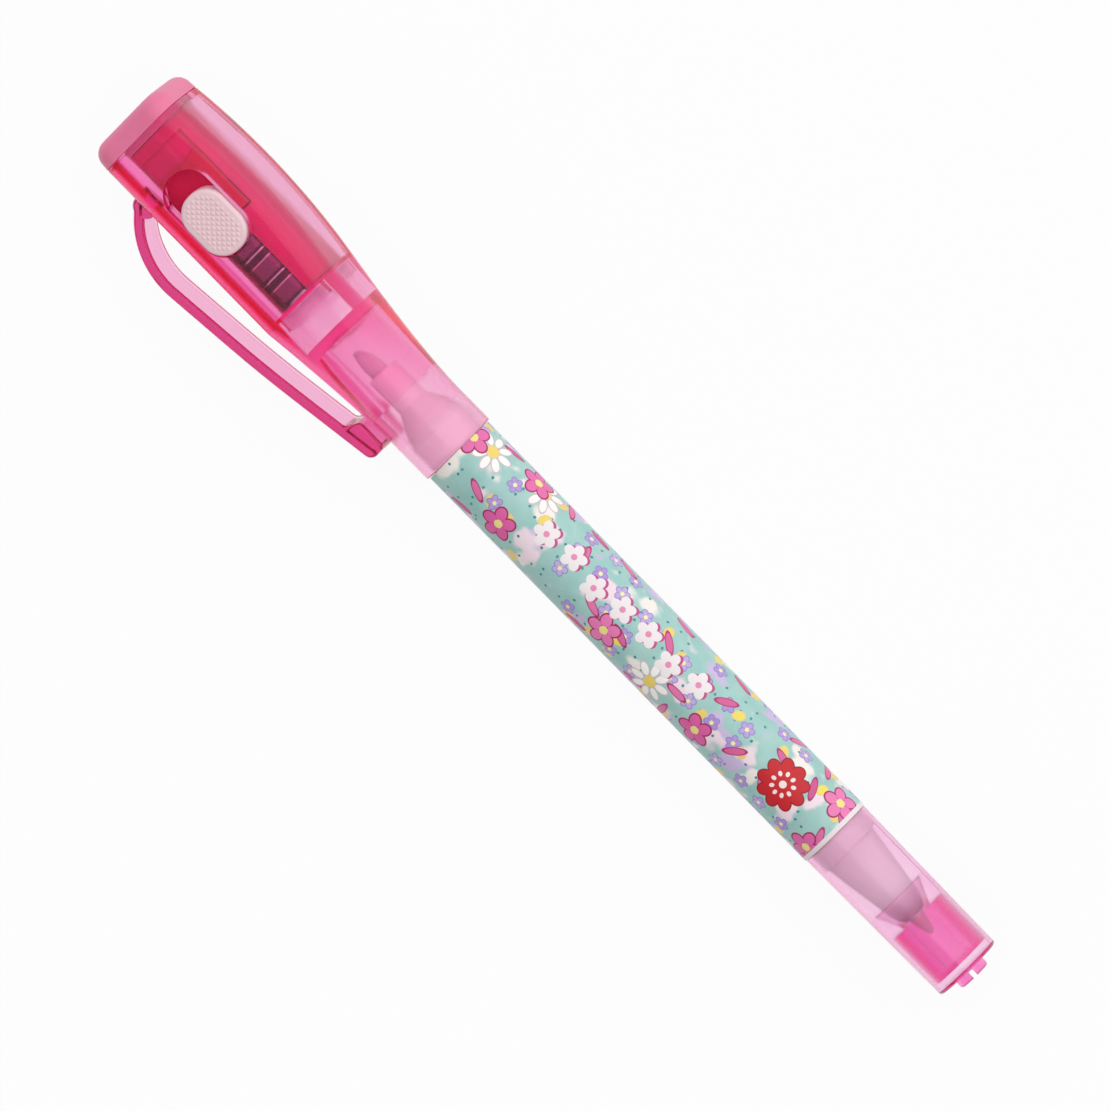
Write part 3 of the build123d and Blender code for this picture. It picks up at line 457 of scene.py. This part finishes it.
felt, tree = new_material("bonded_fibre")
place = add(tree, "ShaderNodeTexCoord").outputs["Object"]
combed = add(tree, "ShaderNodeMapping", {"Vector": place, "Scale": fibre_stretch})
fibres = add(tree, "ShaderNodeTexNoise", {
    "Vector": combed.outputs[0], "Scale": 1 / (fibre_mm * MM), "Detail": 3.0})
shade = add(tree, "ShaderNodeMix", {
    "Factor": fibres.outputs["Fac"], "A": linear("#DCC8D0"), "B": linear("#EFE0E6")}, data_type="RGBA")
nap = add(tree, "ShaderNodeBump", {
    "Strength": nap_strength, "Distance": nap_depth_mm * MM, "Height": fibres.outputs["Fac"]})
surface = add(tree, "ShaderNodeBsdfPrincipled", {
    "Base Color": shade.outputs["Result"], "Roughness": 0.95, "Normal": nap.outputs[0]})
add(tree, "ShaderNodeOutputMaterial", {"Surface": surface.outputs[0]})

lamp_epoxy = clear_plastic("lamp_epoxy", (0.02, 0.03, 0.01), roughness=0.05)
ink_paste = moulded("ballpoint_paste", "#1C2560", "#151B4A", roughness=0.3, grain_mm=0.5, relief=0.05)
print("felt, epoxy and ink:", felt.name, lamp_epoxy.name, ink_paste.name)

# %% [markdown]
# ## Where the print's motifs fall
# A thin printed film is shrunk on to the barrel: mint green with flowers and specks in pink, white, lilac
# and yellow. The print is flat ink, so it is made in the material, and two node groups do the drawing.
# This first one divides the film into cells and puts one motif at a random place in each. It gives the
# offset from that motif's middle, and some random numbers that are the same all over the cell. A Voronoi
# texture scatters points too, but it can't keep a motif inside its cell, and motifs would be cut.

# %% Scatter group
NUMBER = "NodeSocketFloat"
VECTOR = "NodeSocketVector"


def new_group(name, inputs, outputs):
    """Empty shader group with its sockets."""
    group = bpy.data.node_groups.new(name, "ShaderNodeTree")
    for socket, kind in inputs:
        group.interface.new_socket(name=socket, in_out="INPUT", socket_type=kind)
    for socket, kind in outputs:
        group.interface.new_socket(name=socket, in_out="OUTPUT", socket_type=kind)
    return group


half_cell = (0.5, 0.5, 0.0)
half_chance = (0.5, 0.5, 0.5)
flat_only = (1.0, 1.0, 0.0)
second_draw = (17.0, 5.0, 31.0)

scatter = new_group(
    "scatter",
    [("Place", VECTOR), ("Cell", VECTOR), ("Seed", NUMBER), ("Jitter", NUMBER)],
    [("Offset", VECTOR), ("Middle", VECTOR), ("Chance", NUMBER), ("Shade", NUMBER), ("Turn", NUMBER)],
)
given = add(scatter, "NodeGroupInput").outputs
grid = add(scatter, "ShaderNodeVectorMath", {0: given["Place"], 1: given["Cell"]}, operation="DIVIDE")
cell = add(scatter, "ShaderNodeVectorMath", {0: grid.outputs[0]}, operation="FLOOR")
seed = add(scatter, "ShaderNodeCombineXYZ", {"Z": given["Seed"]})
key = add(scatter, "ShaderNodeVectorMath", {0: cell.outputs[0], 1: seed.outputs[0]}, operation="ADD")
first = add(scatter, "ShaderNodeTexWhiteNoise", {
    "Vector": key.outputs[0]}, noise_dimensions="3D").outputs
other = add(scatter, "ShaderNodeVectorMath", {0: key.outputs[0], 1: second_draw}, operation="ADD")
second = add(scatter, "ShaderNodeTexWhiteNoise", {
    "Vector": other.outputs[0]}, noise_dimensions="3D").outputs
centred = add(scatter, "ShaderNodeVectorMath", {0: first["Color"], 1: half_chance}, operation="SUBTRACT")
shift = add(scatter, "ShaderNodeVectorMath", {
    0: centred.outputs[0], "Scale": given["Jitter"]}, operation="SCALE")
flat_shift = add(scatter, "ShaderNodeVectorMath", {0: shift.outputs[0], 1: flat_only}, operation="MULTIPLY")
centre = add(scatter, "ShaderNodeVectorMath", {0: cell.outputs[0], 1: half_cell}, operation="ADD")
spot = add(scatter, "ShaderNodeVectorMath", {
    0: centre.outputs[0], 1: flat_shift.outputs[0]}, operation="ADD")
middle = add(scatter, "ShaderNodeVectorMath", {0: spot.outputs[0], 1: given["Cell"]}, operation="MULTIPLY")
offset = add(scatter, "ShaderNodeVectorMath", {
    0: given["Place"], 1: middle.outputs[0]}, operation="SUBTRACT")
draws = add(scatter, "ShaderNodeSeparateXYZ", {0: second["Color"]}).outputs
turn = add(scatter, "ShaderNodeMath", {0: draws["X"], 1: 2 * pi}, operation="MULTIPLY")
add(scatter, "NodeGroupOutput", {
    "Offset": offset.outputs[0], "Middle": middle.outputs[0], "Chance": first["Value"],
    "Shade": draws["Y"], "Turn": turn.outputs[0]})
print("scatter group:", len(scatter.nodes), "nodes")

# %% [markdown]
# ## The shape of a motif
# The second group turns the offset from a motif's middle into a field that is under 1 inside its petals.
# Each petal is an ellipse some way out from the middle. All petals of a flower are alike, so the angle is
# folded into one wedge, and a single ellipse is drawn there. With one petal at no distance it is a dot or
# a leaf.

# %% Petal group
petals = new_group(
    "petals",
    [("Offset", VECTOR), ("Turn", NUMBER), ("Count", NUMBER), ("Reach", NUMBER), ("Length", NUMBER),
     ("Width", NUMBER)],
    [("Field", NUMBER), ("Distance", NUMBER)],
)
given = add(petals, "NodeGroupInput").outputs
flat = add(petals, "ShaderNodeSeparateXYZ", {0: given["Offset"]}).outputs
angle = add(petals, "ShaderNodeMath", {0: flat["Y"], 1: flat["X"]}, operation="ARCTAN2")
turned = add(petals, "ShaderNodeMath", {0: angle.outputs[0], 1: given["Turn"]}, operation="ADD")
wedge = add(petals, "ShaderNodeMath", {0: pi, 1: given["Count"]}, operation="DIVIDE")
back = add(petals, "ShaderNodeMath", {0: wedge.outputs[0], 1: -1.0}, operation="MULTIPLY")
folded = add(petals, "ShaderNodeMath", {
    0: turned.outputs[0], 1: wedge.outputs[0], 2: back.outputs[0]}, operation="WRAP")
distance = add(petals, "ShaderNodeVectorMath", {0: given["Offset"]}, operation="LENGTH").outputs["Value"]
cosine = add(petals, "ShaderNodeMath", {0: folded.outputs[0]}, operation="COSINE")
sine = add(petals, "ShaderNodeMath", {0: folded.outputs[0]}, operation="SINE")
along = add(petals, "ShaderNodeMath", {0: distance, 1: cosine.outputs[0]}, operation="MULTIPLY")
across = add(petals, "ShaderNodeMath", {0: distance, 1: sine.outputs[0]}, operation="MULTIPLY")
past = add(petals, "ShaderNodeMath", {0: along.outputs[0], 1: given["Reach"]}, operation="SUBTRACT")
long_way = add(petals, "ShaderNodeMath", {0: past.outputs[0], 1: given["Length"]}, operation="DIVIDE")
wide_way = add(petals, "ShaderNodeMath", {0: across.outputs[0], 1: given["Width"]}, operation="DIVIDE")
pair = add(petals, "ShaderNodeCombineXYZ", {"X": long_way.outputs[0], "Y": wide_way.outputs[0]})
field = add(petals, "ShaderNodeVectorMath", {0: pair.outputs[0]}, operation="LENGTH")
add(petals, "NodeGroupOutput", {"Field": field.outputs["Value"], "Distance": distance})
print("petal group:", len(petals.nodes), "nodes")

# %% [markdown]
# ## The film's map and its inks
# The print's map is worked out from Object coordinates: one way along the pen and one round it, both in
# millimetres, so that sizes are real ones. A UV map would need a seam in the mesh, which belongs to the
# CAD. Here the map's two sides meet at the back. One function lays an ink over what is there already. The
# ground is mint with a soft watercolour drift and blots of cream, lilac and pale pink.

# %% Film map and ground
film_low, film_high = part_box("barrel_film")
film_radius_mm = (film_high.z - film_low.z) / 2 / MM
film_round_mm = 2 * pi * film_radius_mm
print_turn = view_tilt
wash_mm = 3.57
blot_mm = 5.0
blot_limit = 0.42
blot_softness = 0.08

film, film_tree = new_material("printed_shrink_film")
place = add(film_tree, "ShaderNodeTexCoord").outputs["Object"]
space = add(film_tree, "ShaderNodeSeparateXYZ", {0: place}).outputs
facing = add(film_tree, "ShaderNodeMath", {0: space["Y"], 1: space["Z"]}, operation="ARCTAN2")
turned = add(film_tree, "ShaderNodeMath", {0: facing.outputs[0], 1: -print_turn}, operation="ADD")
wrapped = add(film_tree, "ShaderNodeMath", {0: turned.outputs[0], 1: pi, 2: -pi}, operation="WRAP")
round_mm = add(film_tree, "ShaderNodeMath", {
    0: wrapped.outputs[0], 1: film_radius_mm}, operation="MULTIPLY").outputs[0]
along_mm = add(film_tree, "ShaderNodeMath", {0: space["X"], 1: 1 / MM}, operation="MULTIPLY").outputs[0]
print_place = add(film_tree, "ShaderNodeCombineXYZ", {"X": along_mm, "Y": round_mm}).outputs[0]


def paint(ground, field, limit, softness, ink, keep=None):
    """Lay one ink over the ground where a field is under its limit."""
    mask = add(film_tree, "ShaderNodeMapRange", {
        "Value": field, "From Min": limit, "From Max": limit - softness},
        interpolation_type="SMOOTHSTEP").outputs[0]
    if keep is not None:
        mask = add(film_tree, "ShaderNodeMath", {0: mask, 1: keep}, operation="MULTIPLY").outputs[0]
    laid = add(film_tree, "ShaderNodeMix", {"Factor": mask, "A": ground, "B": ink}, data_type="RGBA")
    return laid.outputs["Result"]


wash = add(film_tree, "ShaderNodeTexNoise", {
    "Vector": print_place, "Scale": 1 / wash_mm, "Detail": 3.0}).outputs["Fac"]
mint = add(film_tree, "ShaderNodeMix", {
    "Factor": wash, "A": linear("#80BAB7"), "B": linear("#B9D8D0")}, data_type="RGBA")
ground = mint.outputs["Result"]
for shift, ink in ((40.0, "#F3EBE4"), (80.0, "#CDB9DF"), (120.0, "#F2DDE6")):
    spot = add(film_tree, "ShaderNodeVectorMath", {0: print_place, 1: (shift, shift, 0)}, operation="ADD")
    blot = add(film_tree, "ShaderNodeTexNoise", {
        "Vector": spot.outputs[0], "Scale": 1 / blot_mm, "Detail": 2.0})
    ground = paint(ground, blot.outputs["Fac"], blot_limit, blot_softness, linear(ink))
print("film:", round(film_round_mm, 1), "mm round")

# %% [markdown]
# ## Layers of motifs
# Motifs are printed over the ground one kind after another, small specks first and the largest flowers
# last. Each layer paints an outline, a fill and, in a flower, its eye. Round the barrel each layer has a
# whole number of cells, so no motif is cut where the print's two sides meet at the back. Large motifs
# keep out of the places of the garland and the rosette, which come later. Sizes are in millimetres.

# %% Layers of motifs
garland_zone = ((-4.6, 0.4), (16.6, 3.3))
rosette_zone = ((24.0, -0.4), (5.6, 5.0))
zones = (garland_zone, rosette_zone)
edge_mm = 0.06
fill_share = 0.8


def outside(middle, centre, reach):
    """One where a motif's middle lies outside a place that is kept free."""
    way = add(film_tree, "ShaderNodeVectorMath", {0: middle, 1: (*centre, 0)}, operation="SUBTRACT")
    size = add(film_tree, "ShaderNodeVectorMath", {0: way.outputs[0]}, operation="ABSOLUTE")
    ratio = add(film_tree, "ShaderNodeVectorMath", {0: size.outputs[0], 1: (*reach, 1)}, operation="DIVIDE")
    parts = add(film_tree, "ShaderNodeSeparateXYZ", {0: ratio.outputs[0]}).outputs
    most = add(film_tree, "ShaderNodeMath", {0: parts["X"], 1: parts["Y"]}, operation="MAXIMUM")
    clear = add(film_tree, "ShaderNodeMath", {0: most.outputs[0], 1: 1.0}, operation="GREATER_THAN")
    return clear.outputs[0]


def motif_layer(ground, along, around, seed, chance, petal, inks, eye=None, free=()):
    """Scatter one kind of motif over the film: outline, fill and eye."""
    count, reach, length, width = petal
    outline, light, dark = inks
    cell = (along, film_round_mm / around, 1.0)
    jitter = max(1 - 2 * (reach + length) / min(cell[:2]), 0.0)
    spread = add(film_tree, "ShaderNodeGroup", {
        "Place": print_place, "Cell": cell, "Seed": seed, "Jitter": jitter}, node_tree=scatter).outputs
    keep = add(film_tree, "ShaderNodeMath", {
        0: spread["Chance"], 1: chance}, operation="LESS_THAN").outputs[0]
    for centre, size in free:
        clear = outside(spread["Middle"], centre, size)
        keep = add(film_tree, "ShaderNodeMath", {0: keep, 1: clear}, operation="MULTIPLY").outputs[0]
    shape = add(film_tree, "ShaderNodeGroup", {
        "Offset": spread["Offset"], "Turn": spread["Turn"], "Count": count, "Reach": reach,
        "Length": length, "Width": width}, node_tree=petals).outputs
    fill = add(film_tree, "ShaderNodeMix", {
        "Factor": spread["Shade"], "A": linear(light), "B": linear(dark)}, data_type="RGBA")
    rim = edge_mm / width
    ground = paint(ground, shape["Field"], 1.0, rim, linear(outline), keep)
    ground = paint(ground, shape["Field"], fill_share, rim, fill.outputs["Result"], keep)
    if eye:
        ground = paint(ground, shape["Distance"], eye[0], edge_mm, linear(eye[1]), keep)
    return ground


# A petal is the count, how far out it sits, half its length and half its width
motifs = (
    # Teal specks
    {"along": 1.7, "around": 18, "seed": 3.0, "chance": 0.5, "petal": (1, 0.0, 0.24, 0.2),
     "inks": ("#4B8C92", "#3F7C86", "#5A9C9A")},
    # Yellow dots
    {"along": 3.3, "around": 8, "seed": 11.0, "chance": 0.4, "petal": (1, 0.0, 0.95, 0.7),
     "inks": ("#E4D083", "#F2DE5E", "#F0C978")},
    # Small lilac flowers
    {"along": 3.7, "around": 10, "seed": 5.0, "chance": 0.45, "petal": (5, 0.6, 0.5, 0.44),
     "inks": ("#8F77BF", "#AD92D6", "#C4AFE2"), "eye": (0.3, "#F4EFA8")},
    # Pink leaves
    {"along": 4.9, "around": 8, "seed": 23.0, "chance": 0.45, "petal": (1, 0.0, 1.75, 0.55),
     "inks": ("#B02A6C", "#D04A8C", "#E578AE")},
    # White daisies
    {"along": 8.3, "around": 4, "seed": 7.0, "chance": 0.55, "petal": (8, 1.75, 1.15, 0.62),
     "inks": ("#C9BFC6", "#F7F1EC", "#FBF8F4"), "eye": (0.85, "#EFD36A"), "free": zones},
    # Large pink flowers
    {"along": 8.9, "around": 4, "seed": 42.0, "chance": 0.6, "petal": (5, 1.3, 1.1, 0.92),
     "inks": ("#A8215F", "#E05FA4", "#EE86BC"), "eye": (0.6, "#F3E28C"), "free": zones},
)
for motif in motifs:
    ground = motif_layer(ground, **motif)
print("motif layers:", len(motifs))

# %% [markdown]
# ## Garland
# A garland of white flowers, each with a pink shadow, runs along the middle of the print. Its flowers
# stand at a fixed pitch, and a sine of their number lifts them by turns, so that they don't stand in a
# straight row.

# %% Garland
garland_pitch = 4.3
garland_from = -19.6
garland_to = 10.4
garland_phase = 2.2
garland_swing = 0.55
garland_lift = 0.4
bloom_petal = {"Count": 5.0, "Reach": 0.95, "Length": 0.8, "Width": 0.66}
bloom_shadow = (0.28, 0.22, 0.0)
bloom_eye = 0.42
ink_softness = 0.08

flat = add(film_tree, "ShaderNodeSeparateXYZ", {0: print_place}).outputs
run = add(film_tree, "ShaderNodeMath", {0: flat["X"], 1: garland_from}, operation="SUBTRACT")
number = add(film_tree, "ShaderNodeMath", {0: run.outputs[0], 1: garland_pitch}, operation="DIVIDE")
count = add(film_tree, "ShaderNodeMath", {0: number.outputs[0]}, operation="FLOOR")
share = add(film_tree, "ShaderNodeMath", {0: number.outputs[0]}, operation="FRACT")
share = add(film_tree, "ShaderNodeMath", {0: share.outputs[0], 1: 0.5}, operation="SUBTRACT")
step = add(film_tree, "ShaderNodeMath", {0: share.outputs[0], 1: garland_pitch}, operation="MULTIPLY")
phase = add(film_tree, "ShaderNodeMath", {0: count.outputs[0], 1: garland_phase}, operation="MULTIPLY")
wave = add(film_tree, "ShaderNodeMath", {0: phase.outputs[0]}, operation="SINE")
swing = add(film_tree, "ShaderNodeMath", {
    0: wave.outputs[0], 1: garland_swing, 2: garland_lift}, operation="MULTIPLY_ADD")
rise = add(film_tree, "ShaderNodeMath", {0: flat["Y"], 1: swing.outputs[0]}, operation="SUBTRACT")
inside = add(film_tree, "ShaderNodeMath", {
    0: flat["X"], 1: (garland_from + garland_to) / 2, 2: (garland_to - garland_from) / 2},
    operation="COMPARE").outputs[0]
bloom_place = add(film_tree, "ShaderNodeCombineXYZ", {
    "X": step.outputs[0], "Y": rise.outputs[0]}).outputs[0]
for shift, ink in ((bloom_shadow, "#C24C85"), ((0.0, 0.0, 0.0), "#EFE6E8")):
    spot = add(film_tree, "ShaderNodeVectorMath", {0: bloom_place, 1: shift}, operation="SUBTRACT")
    bloom = add(film_tree, "ShaderNodeGroup", {
        "Offset": spot.outputs[0], "Turn": swing.outputs[0], **bloom_petal}, node_tree=petals).outputs
    ground = paint(ground, bloom["Field"], 1.0, ink_softness, linear(ink), inside)
ground = paint(ground, bloom["Distance"], bloom_eye, edge_mm, linear("#E58DB4"), inside)
print("garland flowers:", round((garland_to - garland_from) / garland_pitch))

# %% [markdown]
# ## Rosette and gloss
# One red rosette sits near the ballpoint's end: a dark rim, red petals with a red disc over their roots,
# and a ring of pale drops round a pale eye. Then the film gets its surface. Shrunk film is never quite
# flat, so a faint bump and a drift of its gloss finish it.

# %% Rosette and gloss
rosette_eye = 0.5
peel_mm = 0.8
peel_strength = 0.2
peel_depth_mm = 0.02
gloss_low = 0.36
gloss_high = 0.48
film_ior = 1.5

rosette_spot = add(film_tree, "ShaderNodeVectorMath", {
    0: print_place, 1: (*rosette_zone[0], 0)}, operation="SUBTRACT").outputs[0]
for turn, count, reach, length, width, ink in (
    (0.0, 9.0, 2.2, 1.25, 0.95, "#8E0A16"),
    (0.0, 9.0, 2.1, 1.2, 0.82, "#CB1420"),
    (0.0, 1.0, 0.0, 2.0, 2.0, "#CB1420"),
    (0.2, 9.0, 1.35, 0.34, 0.26, "#F4E4E2"),
):
    bloom = add(film_tree, "ShaderNodeGroup", {
        "Offset": rosette_spot, "Turn": turn, "Count": count, "Reach": reach, "Length": length,
        "Width": width}, node_tree=petals).outputs
    ground = paint(ground, bloom["Field"], 1.0, ink_softness, linear(ink))
ground = paint(ground, bloom["Distance"], rosette_eye, edge_mm, linear("#F4E4E2"))

peel = add(film_tree, "ShaderNodeTexNoise", {"Vector": print_place, "Scale": 1 / peel_mm, "Detail": 2.0})
puckers = add(film_tree, "ShaderNodeBump", {
    "Strength": peel_strength, "Distance": peel_depth_mm * MM, "Height": peel.outputs["Fac"]})
gloss = add(film_tree, "ShaderNodeMapRange", {"Value": wash, "To Min": gloss_low, "To Max": gloss_high})
surface = add(film_tree, "ShaderNodeBsdfPrincipled", {
    "Base Color": ground, "Roughness": gloss.outputs[0], "IOR": film_ior, "Normal": puckers.outputs[0]})
add(film_tree, "ShaderNodeOutputMaterial", {"Surface": surface.outputs[0]})
print("film material:", len(film_tree.nodes), "nodes")

# %% [markdown]
# ## Finishes on the CAD pieces
# Each CAD piece keeps its exact shape and gets its finish. A table says which piece is made of what. The
# switch's button isn't in it, because a piece with a finer shape stands for it in the next cells.

# %% Finishes on the CAD pieces
finishes = {
    shell_styrene: ("torch_shell",),
    pink_styrene: ("cap_neck",),
    clip_styrene: ("pocket_clip",),
    magenta_styrene: ("tail_cap", "tail_liner"),
    frosted_styrene: ("bezel",),
    carrier_styrene: ("cell_carrier",),
    slider_styrene_shaded: ("switch_slider",),
    tube_polypropylene: ("reservoir_wrap", "refill_tube", "refill_follower"),
    strip_steel: ("led_anode_lead", "led_cathode_lead", "front_contact", "rear_contact", "switch_contact"),
    cell_steel_with_glints: ("button_cell_1", "button_cell_2", "button_cell_3"),
    tip_nickel: ("ballpoint_tip", "writing_ball"),
    felt: ("marker_nib", "ink_reservoir"),
    lamp_epoxy: ("uv_led",),
    ink_paste: ("refill_ink",),
    film: ("barrel_film",),
    holder_polypropylene_lit: ("nib_holder",),
    white_polypropylene: ("barrel", "divider_plug", "nose_cone", "tip_adapter"),
}
for material, names in finishes.items():
    for name in names:
        nodes[name].material_slots[0].material = material
print("finished pieces:", sum(len(names) for names in finishes.values()), "of", len(nodes))

# %% [markdown]
# ## Body of the switch's button
# The thumb pushes this button along its slot. Its body is one closed skin: the same rounded outline at a
# few heights, drawn in a little at the top for the rounded edge, joined by quads. A scaled cylinder with
# a bevel would be quicker, but its corners would not keep their radius.

# %% Button body
button_low, button_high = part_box("switch_button")
button_middle = (button_low + button_high) / 2
half_length = (button_high.x - button_low.x) / 2
half_width = (button_high.y - button_low.y) / 2
button_corner = 3.0 * MM
button_edge = 0.45 * MM
grip_height = 0.14 * MM
grip_level = button_high.z - grip_height
corner_steps = 12
edge_steps = 5
sharp_angle = radians(35)


def button_outline(inset, z):
    """Points of the button's rounded outline, drawn in by an inset."""
    points = []
    reach = button_corner - inset
    for quarter in range(4):
        corner_x = (half_length - button_corner) * (1 if quarter in (0, 3) else -1)
        corner_y = (half_width - button_corner) * (1 if quarter in (0, 1) else -1)
        for step in range(corner_steps + 1):
            turn = (quarter + step / corner_steps) * pi / 2
            x = button_middle.x + corner_x + reach * cos(turn)
            y = button_middle.y + corner_y + reach * sin(turn)
            points.append((x, y, z))
    return points


body = bmesh.new()
rings = [button_outline(0.0, button_low.z)]
for step in range(edge_steps + 1):
    turn = step / edge_steps * pi / 2
    rings.append(button_outline(button_edge * (1 - cos(turn)), grip_level - button_edge * (1 - sin(turn))))
loops = [[body.verts.new(point) for point in ring] for ring in rings]
for lower, upper in zip(loops, loops[1:]):
    for here in range(len(lower)):
        ahead = (here + 1) % len(lower)
        body.faces.new((lower[here], lower[ahead], upper[ahead], upper[here]))
body.faces.new(loops[-1])
body.faces.new(reversed(loops[0]))
button_mesh = bpy.data.meshes.new("grip_button")
body.to_mesh(button_mesh)
body.free()
button_mesh.shade_smooth()
button_mesh.set_sharp_from_angle(angle=sharp_angle)
grip_button = bpy.data.objects.new("grip_button", button_mesh)
scene.collection.objects.link(grip_button)
print("button body:", len(button_mesh.polygons), "faces")

# %% [markdown]
# ## Grip of pyramids
# The button's top is moulded with small pyramids that keep the thumb from slipping. They repeat by a
# rule, so Geometry Nodes sets them: a grid of points turned by 45 degrees, kept where a point lies well
# inside the outline, with one four-sided cone on each. The outline test is the distance to a rounded
# rectangle. A bump map would be quicker, but it would leave the button's edge smooth, and the pyramids
# would not catch the light.

# %% Grip of pyramids
grip_pitch = 0.62 * MM
grip_root = 0.03 * MM
grip_margin = 0.5 * grip_pitch
grip_rows = 21
grip_turn = pi / 4

grip = bpy.data.node_groups.new("button_grip", "GeometryNodeTree")
grip.interface.new_socket(name="Geometry", in_out="INPUT", socket_type="NodeSocketGeometry")
grip_inputs = {
    "Middle": (VECTOR, (button_middle.x, button_middle.y, grip_level - grip_root)),
    "Straight": (VECTOR, (half_length - button_corner, half_width - button_corner, 0.0)),
    "Corner": (NUMBER, button_corner - button_edge - grip_margin),
    "Pitch": (NUMBER, grip_pitch),
    "Height": (NUMBER, grip_height + grip_root),
    "Rows": ("NodeSocketInt", grip_rows),
    "Plastic": ("NodeSocketMaterial", button_polypropylene),
}
sockets = {}
for name, (kind, value) in grip_inputs.items():
    sockets[name] = grip.interface.new_socket(name=name, in_out="INPUT", socket_type=kind).identifier
grip.interface.new_socket(name="Geometry", in_out="OUTPUT", socket_type="NodeSocketGeometry")
given = add(grip, "NodeGroupInput").outputs
gaps = add(grip, "ShaderNodeMath", {0: given["Rows"], 1: 1.0}, operation="SUBTRACT")
side = add(grip, "ShaderNodeMath", {0: gaps.outputs[0], 1: given["Pitch"]}, operation="MULTIPLY").outputs[0]
grid = add(grip, "GeometryNodeMeshGrid", {
    "Size X": side, "Size Y": side, "Vertices X": given["Rows"], "Vertices Y": given["Rows"]})
turned = add(grip, "GeometryNodeTransform", {
    "Geometry": grid.outputs["Mesh"], "Translation": given["Middle"], "Rotation": (0, 0, grip_turn)})
place = add(grip, "GeometryNodeInputPosition")
offset = add(grip, "ShaderNodeVectorMath", {0: place.outputs[0], 1: given["Middle"]}, operation="SUBTRACT")
folded = add(grip, "ShaderNodeVectorMath", {0: offset.outputs[0]}, operation="ABSOLUTE")
past = add(grip, "ShaderNodeVectorMath", {0: folded.outputs[0], 1: given["Straight"]}, operation="SUBTRACT")
outer = add(grip, "ShaderNodeVectorMath", {0: past.outputs[0], 1: (0, 0, 0)}, operation="MAXIMUM")
reach = add(grip, "ShaderNodeVectorMath", {0: outer.outputs[0]}, operation="LENGTH").outputs["Value"]
inside = add(grip, "ShaderNodeMath", {0: reach, 1: given["Corner"]}, operation="LESS_THAN")
corner_reach = add(grip, "ShaderNodeMath", {0: given["Pitch"], 1: 2 ** 0.5}, operation="DIVIDE")
pyramid = add(grip, "GeometryNodeMeshCone", {
    "Vertices": 4, "Radius Top": 0.0, "Radius Bottom": corner_reach.outputs[0], "Depth": given["Height"]})
spread = add(grip, "GeometryNodeInstanceOnPoints", {
    "Points": turned.outputs[0], "Selection": inside.outputs[0], "Instance": pyramid.outputs["Mesh"]})
joined = add(grip, "GeometryNodeJoinGeometry")
grip.links.new(spread.outputs[0], joined.inputs[0])
grip.links.new(given["Geometry"], joined.inputs[0])
plain = add(grip, "GeometryNodeRealizeInstances", {0: joined.outputs[0]})
painted = add(grip, "GeometryNodeSetMaterial", {
    "Geometry": plain.outputs[0], "Material": given["Plastic"]})
add(grip, "NodeGroupOutput", {0: painted.outputs[0]})

modifier = grip_button.modifiers.new("button_grip", "NODES")
modifier.node_group = grip
for name, (kind, value) in grip_inputs.items():
    modifier[sockets[name]] = value
depsgraph = bpy.context.evaluated_depsgraph_get()
finished = bpy.data.meshes.new_from_object(grip_button.evaluated_get(depsgraph))
grip_button.modifiers.clear()
grip_button.data = finished
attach(grip_button, "switch")
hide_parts("switch_button")
heights = [vertex.co.z / MM for vertex in finished.vertices]
print("grip button:", len(finished.polygons), "faces, top at", round(max(heights), 3), "mm")
